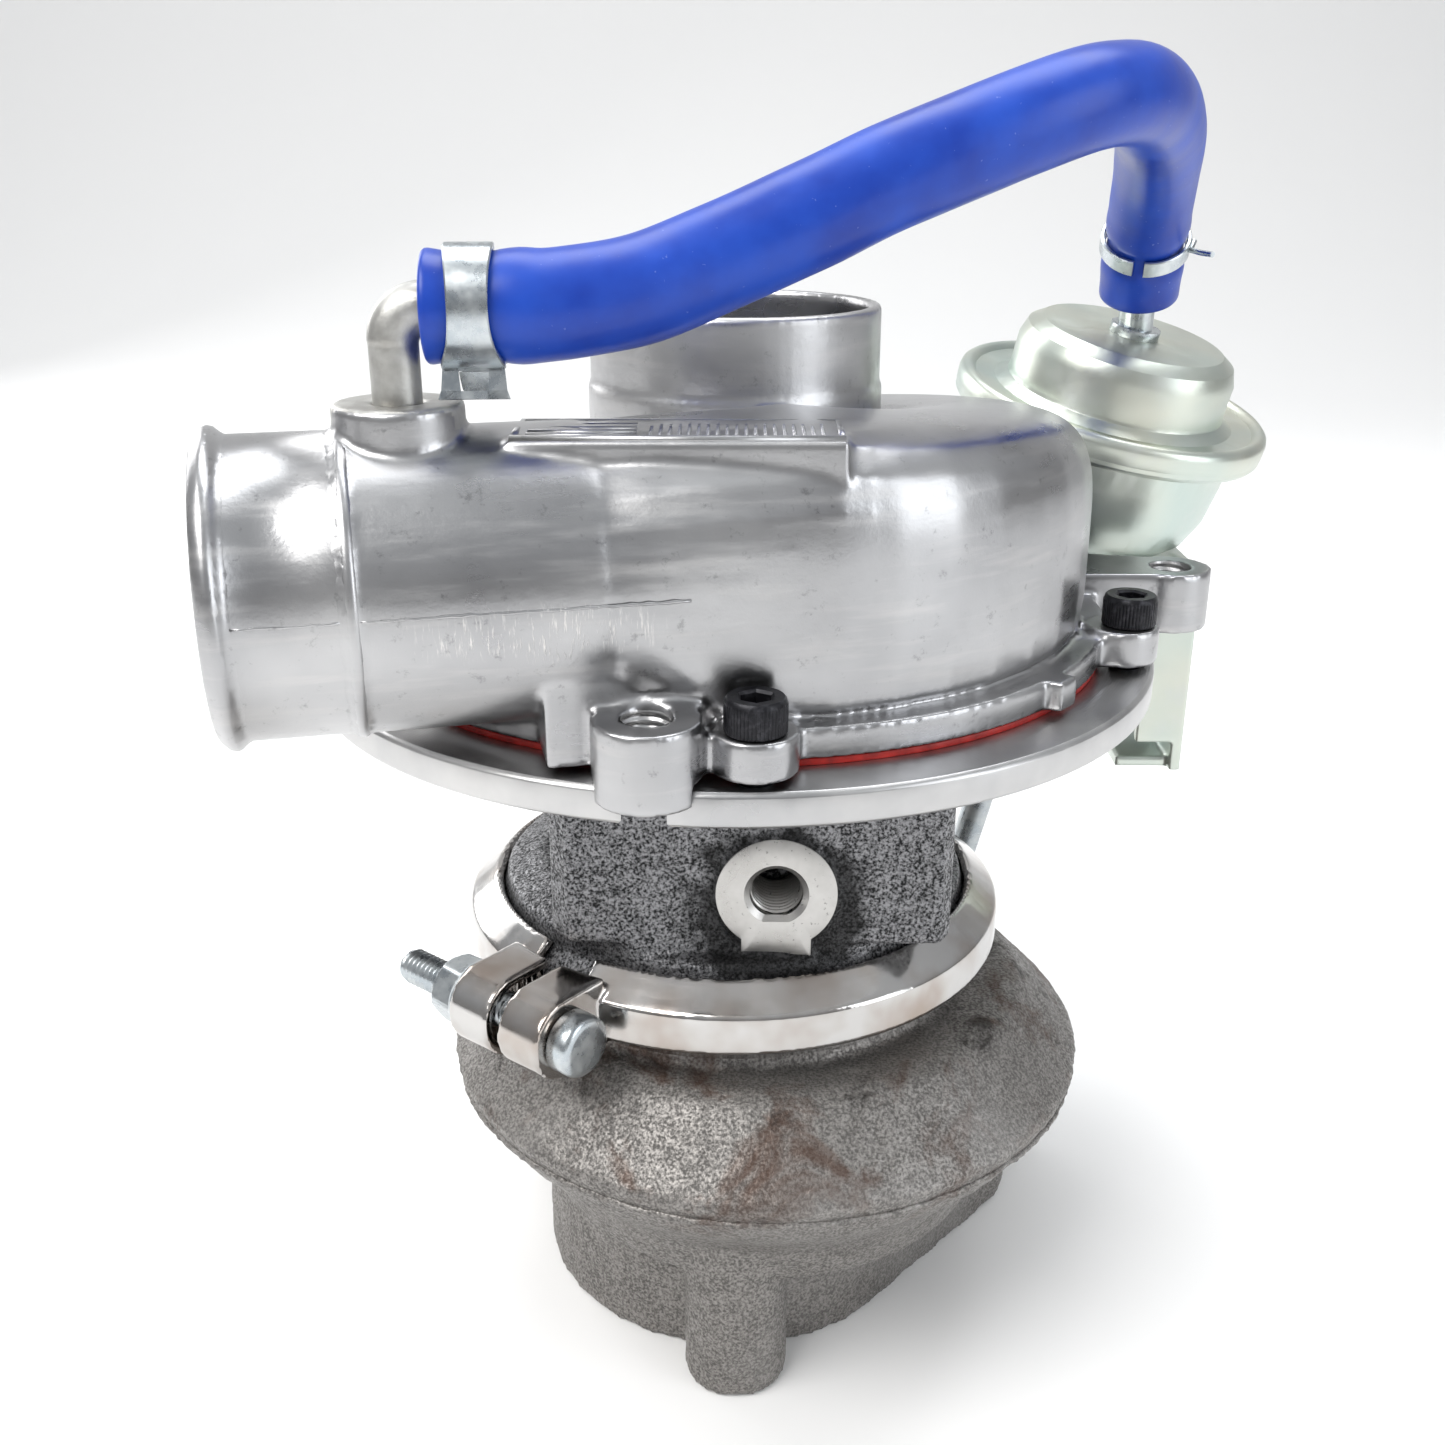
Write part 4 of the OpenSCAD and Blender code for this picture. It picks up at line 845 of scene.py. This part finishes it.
def clamp_nut():
    """A hexagon nut with chamfered ends and a pressed flange."""
    builder = Builder()
    base = CLAMP_LUG + 0.05
    flats = hexagon(10.0)
    sides = 120

    def ring(limit, z):
        return circle(0, z, sides, lambda a: min(flats(a), limit))

    rings = [circle(3.0, base, sides), circle(5.9, base, sides), circle(6.15, base + 0.4, sides),
             circle(5.9, base + 0.9, sides), ring(5.75, base + 1.2), ring(5.6, base + 5.2),
             ring(5.3, base + 5.6), ring(4.95, base + 5.95), circle(3.5, base + 5.98, sides),
             circle(2.97, base + 5.5, sides), circle(2.97, base, sides)]
    builder.loft(rings, start=False, end=False)
    put(builder, "clamp_nut_skin", "zinc_steel", matrix=clamp_frame(), sharp=35, replaced=["clamp_nut"])


# ---------- hose ----------

HOSE_ROUTE = [(-39.3, -51.7, 181.4), (-30, -51, 181.4), (-22, -49, 181.5), (-12, -45, 183),
              (-2, -41, 186.6), (8.5, -38, 191), (18.8, -35, 195.6), (29.5, -32, 199.8),
              (40.5, -28, 203.8), (49.5, -23, 206.4), (56.8, -15, 207), (62.4, -4, 205.4),
              (66.8, 8, 201.6), (69.6, 19, 196), (71.2, 27, 189), (72.2, 32.6, 181.6),
              (72.85, 35.95, 174.5)]
HOSE_R = 7.0
HOSE_BORE_R = 3.5
HOSE_STEPS = 12
CAD_STEPS = 3
FIRST_CLIP = 2
SECOND_CLIP = 44


def hose_path():
    return catmull(HOSE_ROUTE, HOSE_STEPS)


def hose_frame(cad_ring):
    """A matrix with Z along the hose at one of the CAD route's rings."""
    path = hose_path()
    step = HOSE_STEPS // CAD_STEPS
    i = cad_ring * step
    direction = (path[min(i + step, len(path) - 1)] - path[max(i - step, 0)]).normalized()
    side = Vector((0, 0, -1)) if abs(direction.z) < 0.8 else Vector((0, -1, 0))
    return along(path[i], direction, side)


def pressure_hose():
    """The hose on its route, nipped under each clip and rolled at its cut ends."""
    path = hose_path()
    step = HOSE_STEPS // CAD_STEPS
    lengths = [0.0]
    for a, b in zip(path, path[1:]):
        lengths.append(lengths[-1] + (b - a).length)
    clips = [lengths[FIRST_CLIP * step], lengths[SECOND_CLIP * step]]
    sides = 56

    def radius(s):
        r = HOSE_R
        for place, wide in zip(clips, (3.4, 2.4)):
            gap = abs(s - place)
            r -= 0.42 * math.exp(-(gap / wide) ** 4)
            r += 0.22 * math.exp(-((gap - wide * 1.9) / 2.0) ** 2)
        end = min(s, lengths[-1] - s)
        if end < 0.8:
            r -= 0.8 - math.sqrt(max(0.0, 0.64 - (0.8 - end) ** 2))
        return r

    builder = Builder()
    outer, inner = [], []
    previous = None
    whole, spacing = lengths[-1], 1.1
    near_ends = [0.0, 0.1, 0.25, 0.45, 0.8]
    between = [i * spacing for i in range(1, int(whole / spacing)) if 1.0 < i * spacing < whole - 1.0]
    samples = sorted(set(near_ends + [whole - e for e in near_ends] + between))
    index = 0
    for s in samples:
        while index < len(lengths) - 2 and lengths[index + 1] < s:
            index += 1
        share = (s - lengths[index]) / (lengths[index + 1] - lengths[index])
        centre = path[index].lerp(path[index + 1], share)
        before, after = path[max(0, index - 1)], path[min(len(path) - 1, index + 2)]
        direction = (after - before).normalized()
        side = previous if previous else Vector((0.25, 1, 0.1))
        u = (side - direction * side.dot(direction)).normalized()
        previous = u
        v = direction.cross(u)
        ring, bore = [], []
        for j in range(sides):
            a = 2 * math.pi * j / sides
            ray = u * math.cos(a) + v * math.sin(a)
            wobble = noise.noise((centre + ray * HOSE_R) / 9.0) * 0.12
            ring.append(centre + ray * (radius(s) + wobble))
            bore.append(centre + ray * HOSE_BORE_R)
        outer.append(ring)
        inner.append(bore)
    builder.loft(outer + inner[::-1] + [outer[0]], start=False, end=False)
    put(builder, "pressure_hose_skin", "blue_silicone", replaced=["pressure_hose"])


def strip(builder, line, normals, widths, across, thick):
    """A metal strip: line of points, their outward normals and widths, laid across a direction."""
    rings = []
    for p, n, w in zip(line, normals, widths):
        low, high = p - n * thick / 2, p + n * thick / 2
        r = min(0.18, thick / 3)
        half = across * w / 2
        inset = across * (w / 2 - r)
        rings.append([low - inset, low + inset, low + half + n * r, high + half - n * r,
                      high + inset, high - inset, high - half - n * r, low - half + n * r])
    builder.loft(rings)


def hoop(radius, start, sweep):
    """Points of an arc about Z, with their outward normals."""
    steps = 72
    angles = [start + sweep * i / steps for i in range(steps + 1)]
    normals = [Vector((math.cos(a), math.sin(a), 0)) for a in angles]
    return [n * radius for n in normals], normals


def outlet_hose_clip():
    """A spring band: a strip round the hose that widens to two ears, one with a window."""
    builder = Builder()
    across = Vector((0, 0, 1))
    thick = 0.8
    radius = HOSE_R + 0.05 + thick / 2
    opening = math.radians(17)
    line, normals = hoop(radius, opening, 2 * math.pi - 2 * opening)
    shares = [i / (len(line) - 1) for i in range(len(line))]
    widths = [4.9 + 3.3 * math.exp(-(min(t, 1 - t) / 0.12) ** 2) + 1.4 * math.exp(-((t - 0.5) / 0.16) ** 2)
              for t in shares]
    strip(builder, line, normals, widths, across, thick)
    # Ears: the front one is a window frame, the back one a plain tongue
    tongue = [(0, 2.4), (0.55, 2.2), (0.9, 2.0), (1, 1.7), (1, -1.7), (0.9, -2.0), (0.55, -2.2), (0, -2.4)]
    bars = ((0.0, 1.0, -3.9, -2.0), (0.0, 1.0, 2.0, 3.9), (0.76, 1.0, -4.2, 4.2), (0.0, 0.16, -3.6, 3.6))
    flare = 0.35
    for sign in (-1, 1):
        foot = Vector((math.cos(opening), sign * math.sin(opening), 0)) * radius
        tip = foot + Vector((4.0, sign * 1.2, 0))
        face = (tip - foot).normalized().cross(across) * (thick / 2)
        if sign > 0:
            builder.loft([[foot.lerp(tip, t) + across * w + side for t, w in tongue]
                          for side in (face, -face)])
            continue
        for t0, t1, w0, w1 in bars:
            a, b = foot.lerp(tip, t0), foot.lerp(tip, t1)
            spread = flare * t1
            builder.loft([[a + across * w0 + side, a + across * w1 + side,
                           b + across * (w1 + spread) + side, b + across * (w0 - spread) + side]
                          for side in (face, -face)])
    put(builder, "outlet_hose_clip_skin", "zinc_steel", matrix=hose_frame(FIRST_CLIP), sharp=35,
        replaced=["outlet_hose_clip"])


def actuator_hose_clip():
    """A narrow spring ring with a bent wire tail."""
    builder = Builder()
    thick = 0.75
    radius = HOSE_R + 0.02
    line, normals = hoop(radius + thick / 2, 0.5, 2 * math.pi * 0.96)
    strip(builder, line, normals, [3.0] * len(line), Vector((0, 0, 1)), thick)
    a = -1.1
    foot = Vector((math.cos(a), math.sin(a), 0)) * (radius + 0.9)
    tail = [foot + Vector((-math.sin(a), math.cos(a), 0)) * -2.5, foot,
            foot + Vector((2.2, -1.2, -1.0)), foot + Vector((4.4, -2.4, -2.2))]
    rings = []
    for i, p in enumerate(tail):
        matrix = along(p, tail[min(i + 1, 3)] - tail[max(i - 1, 0)])
        rings.append([matrix @ Vector(q) for q in circle(0.5, 0, 12)])
    builder.loft(rings)
    put(builder, "actuator_hose_clip_skin", "zinc_steel", matrix=hose_frame(SECOND_CLIP), sharp=40,
        replaced=["actuator_hose_clip"])


# ---------- wheels ----------


def profile_at(points, t):
    """A point a share t along a smooth curve through (radius, height) points."""
    line = catmull([(r, z, 0) for r, z in points], 16)
    place = t * (len(line) - 1)
    i = min(int(place), len(line) - 2)
    return line[i].lerp(line[i + 1], place - i)


def blade(builder, hub, shroud, turn, start, root, tip):
    """One curved blade between a hub curve and a shroud curve, root thick at the hub and tip thick
    at the shroud. turn(t, q) is its angle at share t along it and share q out from the hub."""
    along_steps, span_steps = 28, 7
    rings = []
    for i in range(along_steps + 1):
        t = start + (1 - start) * i / along_steps
        h, s = profile_at(hub, t), profile_at(shroud, t)
        front, back = [], []
        taper = min(1.0, 0.35 + 6 * min(t - start, 1 - t + 0.08))
        for k in range(span_steps + 1):
            q = k / span_steps
            r, z = h.x + (s.x - h.x) * q, h.y + (s.y - h.y) * q
            angle = turn(t, q)
            half = (root + (tip - root) * q) * taper / 2
            tangent = Vector((-math.sin(angle), math.cos(angle), 0)) * half
            centre = Vector((r * math.cos(angle), r * math.sin(angle), z))
            front.append(centre + tangent)
            back.append(centre - tangent)
        rings.append(front + back[::-1])
    builder.loft(rings)


def compressor_wheel():
    """A backswept wheel with full blades and splitters."""
    low, high = box_mm("compressor_wheel")
    base, tip = low.z, high.x
    bore, count = 3.02, 6

    def raised(*points):
        return [(r, base + up) for r, up in points]

    builder = Builder()
    lathe(builder, raised((bore, 0), (tip - 0.3, 0), (tip, 0.25), (tip, 0.8), (22.5, 1.2), (19, 2.4),
                          (15.5, 4.4), (12.4, 7.2), (10, 10.6), (8.3, 14.6), (7.1, 18.6), (6.4, 22),
                          (6.1, 23.7), (5.8, 24), (bore, 24), (bore, 0)))
    hub = raised((6.4, 21.8), (7.0, 18), (8.4, 13.4), (11.2, 8.2), (16, 3.8), (tip - 0.5, 0.6))
    shroud = raised((16.4, 21.9), (16.5, 18.4), (17.9, 12.4), (20.6, 8.0), (23.2, 5.2), (tip - 0.1, 3.4))

    def angle_of(offset):
        return lambda t, q: offset + 1.05 * t ** 0.75 + 0.34 * max(0.0, t - 0.55) - 0.10 * q * (1 - t)

    for i in range(count):
        offset = 2 * math.pi * i / count
        blade(builder, hub, shroud, angle_of(offset), 0.0, 0.9, 0.45)
        blade(builder, hub, shroud, angle_of(offset + math.pi / count), 0.3, 0.9, 0.45)
    put(builder, "compressor_wheel_skin", "machined_aluminium", "rotor", sharp=38,
        replaced=["compressor_wheel"])


def turbine_wheel():
    """The turbine wheel with curved blades, and the shaft that it is welded to."""
    low, high = box_mm("turbine_wheel_shaft")
    foot, end = low.z, high.z
    centre, count = 0.02, 11
    hub_profile = [(r, foot + up) for r, up in (
        (centre, 2.5), (2.9, 2.5), (3.1, 0.1), (4.4, 0), (5.0, 1), (5.6, 5), (6.7, 12), (8.0, 17),
        (10.2, 21.4), (13.6, 25), (18, 27.8), (23.2, 29), (23.4, 29.2), (23.4, 29.9))]
    shaft_profile = [(10, 57.4), (8, 58.2), (8, 61.4), (6.8, 61.4), (6.8, 63.2), (8, 63.2), (8, 65.7),
                     (7.7, 66), (6, 68), (6, 72), (4, 72.6), (4, 107.3), (3, 107.5), (3, end - 0.4),
                     (2.6, end), (centre, end)]
    builder = Builder()
    lathe(builder, hub_profile + shaft_profile)
    hub = [(22.8, 54.9), (17.5, 53.2), (12.6, 49.6), (9.2, 44.5), (6.9, 38), (5.6, 31), (5.1, 28.2)]
    shroud = [(23.9, 48.2), (22.6, 45.2), (21.2, 42.0), (20.3, 38.5), (19.9, 35), (19.8, 31), (19.8, 28.2)]

    def angle_of(offset):
        return lambda t, q: offset + 0.85 * max(0.0, t - 0.35) ** 1.6 * (0.8 + 0.5 * q)

    for i in range(count):
        blade(builder, hub, shroud, angle_of(2 * math.pi * i / count), 0.0, 1.7, 0.9)
    put(builder, "turbine_wheel_skin", "turbine_alloy", "rotor", sharp=38, replaced=["turbine_wheel_shaft"])


# ---------- actuator ----------


def crimp_bead():
    """The rolled edge of the actuator's crimp."""
    profile = [(CRIMP_R - 3.1, 1.6), (CRIMP_R - 2.7, 2.2), (CRIMP_R - 2.1, 2.8), (CRIMP_R - 1.4, 3.05),
               (CRIMP_R - 0.7, 2.85), (CRIMP_R - 0.1, 2.3), (CRIMP_R + 0.15, 1.5), (CRIMP_R + 0.15, 0.4),
               (CRIMP_R + 0.1, -0.8), (CRIMP_R - 0.3, -1.8), (CRIMP_R - 0.9, -2.5)]
    builder = Builder()
    lathe(builder, profile, 128)
    put(builder, "crimp_bead", SLOT_OF["actuator_cap"], matrix=along(ACTUATOR_POS, -ROD_AXIS))


def actuator_spring():
    """The spring: a copy of its CAD mesh in bright steel, in place of the CAD node."""
    mesh = welded_copy("actuator_spring")
    dress(mesh, [LOOKS["bright_steel"]])
    shade_smooth(mesh)
    piece = new_object("actuator_spring_skin", mesh)
    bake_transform(piece)
    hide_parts("actuator_spring")


# ---------- the rest of the frame ----------

CRISP = {
    "compressor_backplate": 0.3, "cover_seal": 0.15, "actuator_cap": 0.35, "actuator_can": 0.35,
    "actuator_nipple": 0.25, "actuator_rod": 0.3, "rod_end": 0.4, "rod_locknut": 0.3,
    "wastegate_lever": 0.5, "lever_clip": 0.1, "wastegate_bush": 0.2, "actuator_nuts": 0.25,
    "compressor_nut": 0.3,
}


def crisp_parts():
    """Small turned, pressed and milled parts, each with its bevel's width."""
    for node, bevel in CRISP.items():
        crisp_piece(node, bevel)


def dress_frame():
    """Every CAD node that still shows gets its slot's material."""
    for node, piece in frame["nodes"].items():
        dress(piece.data, [LOOKS[SLOT_OF[node]]])
        shade_smooth(piece.data, 30)


# ---------- stage, light and camera ----------


def stage():
    """A pale floor that curves up into a backdrop."""
    half = 2500.0
    floor, bend_y, bend_r, top = -0.4, 900, 700, 3200
    line = [(-half, floor), (bend_y, floor)]
    for i in range(1, 13):
        a = math.pi / 2 * i / 12
        line.append((bend_y + bend_r * math.sin(a), floor + bend_r * (1 - math.cos(a))))
    line.append((bend_y + bend_r, top))
    points = [(x, y, z) for y, z in line for x in (-half, half)]
    faces = [(2 * i, 2 * i + 1, 2 * i + 3, 2 * i + 2) for i in range(len(line) - 1)]
    mesh = bpy.data.meshes.new("floor")
    mesh.from_pydata([Vector(p) * MM for p in points], [], faces)
    shade_smooth(mesh)
    pale = Shader("pale_floor", roughness=0.9, colour=(0.86, 0.855, 0.85))
    mesh.materials.append(pale.material)
    floor_piece = new_object("floor", mesh)


def area(name, at, target, size, power, colour=(1, 1, 1)):
    """A rectangular lamp that faces target."""
    data = bpy.data.lights.new(name, "AREA")
    data.shape = "RECTANGLE"
    data.size, data.size_y = size
    data.energy = power
    data.color = colour
    lamp = new_object(name, data)
    lamp.location = at
    lamp.rotation_euler = (Vector(target) - Vector(at)).to_track_quat("-Z", "Y").to_euler()


def lights():
    """Four soft lamps and a sky that brightens upwards."""
    centre = (0, 0, 0.1)
    area("key", (-0.55, -0.5, 0.95), centre, (0.8, 0.55), 11, (1.0, 0.99, 0.97))
    area("fill", (0.95, -0.55, 0.45), centre, (0.5, 0.8), 4, (0.94, 0.97, 1.0))
    area("top", (0.1, 0.35, 1.15), centre, (1.0, 0.6), 9, (0.97, 0.985, 1.0))
    area("rim", (-0.7, 0.7, 0.5), centre, (0.5, 0.7), 4)
    world = bpy.data.worlds.new("studio")
    bpy.context.scene.world = world
    world.use_nodes = True
    tree = world.node_tree
    tree.nodes.clear()
    coords = tree.nodes.new("ShaderNodeTexCoord")
    split = tree.nodes.new("ShaderNodeSeparateXYZ")
    ramp = tree.nodes.new("ShaderNodeValToRGB")
    back = tree.nodes.new("ShaderNodeBackground")
    out = tree.nodes.new("ShaderNodeOutputWorld")
    tree.links.new(coords.outputs["Generated"], split.inputs[0])
    span = tree.nodes.new("ShaderNodeMapRange")
    span.inputs[1].default_value = -0.3
    span.inputs[2].default_value = 1.0
    tree.links.new(split.outputs[2], span.inputs[0])
    tree.links.new(span.outputs[0], ramp.inputs[0])
    fill_ramp(ramp.color_ramp, [(0.0, (0.20, 0.19, 0.18)), (0.2, (0.40, 0.395, 0.39)),
                                (0.5, (0.58, 0.59, 0.61)), (1.0, (0.95, 0.98, 1.0))])
    tree.links.new(ramp.outputs[0], back.inputs[0])
    back.inputs[1].default_value = 0.75
    tree.links.new(back.outputs[0], out.inputs[0])


def camera():
    """Stands in front, looking down by pitch, with a slight roll."""
    pitch, roll = 0.366, 0.008
    data = bpy.data.cameras.new("camera")
    data.sensor_width = 36
    data.lens = 38.295
    data.clip_start = 0.01
    view = new_object("camera", data)
    view.location = (0, -0.251616, 0.201841)
    view.rotation_euler = (math.pi / 2 - pitch, 0, roll)
    bpy.context.scene.camera = view


def main():
    camera()
    dress_frame()
    compressor_housing()
    bearing_housing()
    oil_pad()
    flash_line(turbine_housing())
    crimp_bead()
    cast_piece("v_band_clamp", 0.4, 8)
    cast_piece("outlet_nipple", 0.3, 3, [DULL])
    cast_piece("actuator_bracket", 0.45, 3)
    outlet_details()
    pad_relief()
    tapped_hole("oil_inlet_thread", (OIL_POS.x, -36.6, OIL_POS.z), OIL_DIR, 4.2, 12.5, 1.0,
                "cast_iron", MACHINED_IRON)
    for name in ("front_boss", "side_lug"):
        place = mount(name)[0]
        tapped_hole(name + "_thread", (place.x, place.y, LUG_TOP), (0, 0, 1), 3.4, 9.5, 1.25,
                    "cast_aluminium", LOOKS["machined_aluminium"])
    cover_bolts()
    clamp_bolt()
    clamp_nut()
    pressure_hose()
    outlet_hose_clip()
    actuator_hose_clip()
    compressor_wheel()
    turbine_wheel()
    actuator_spring()
    crisp_parts()
    stage()
    lights()
    bpy.context.scene.view_settings.view_transform = "Standard"


main()
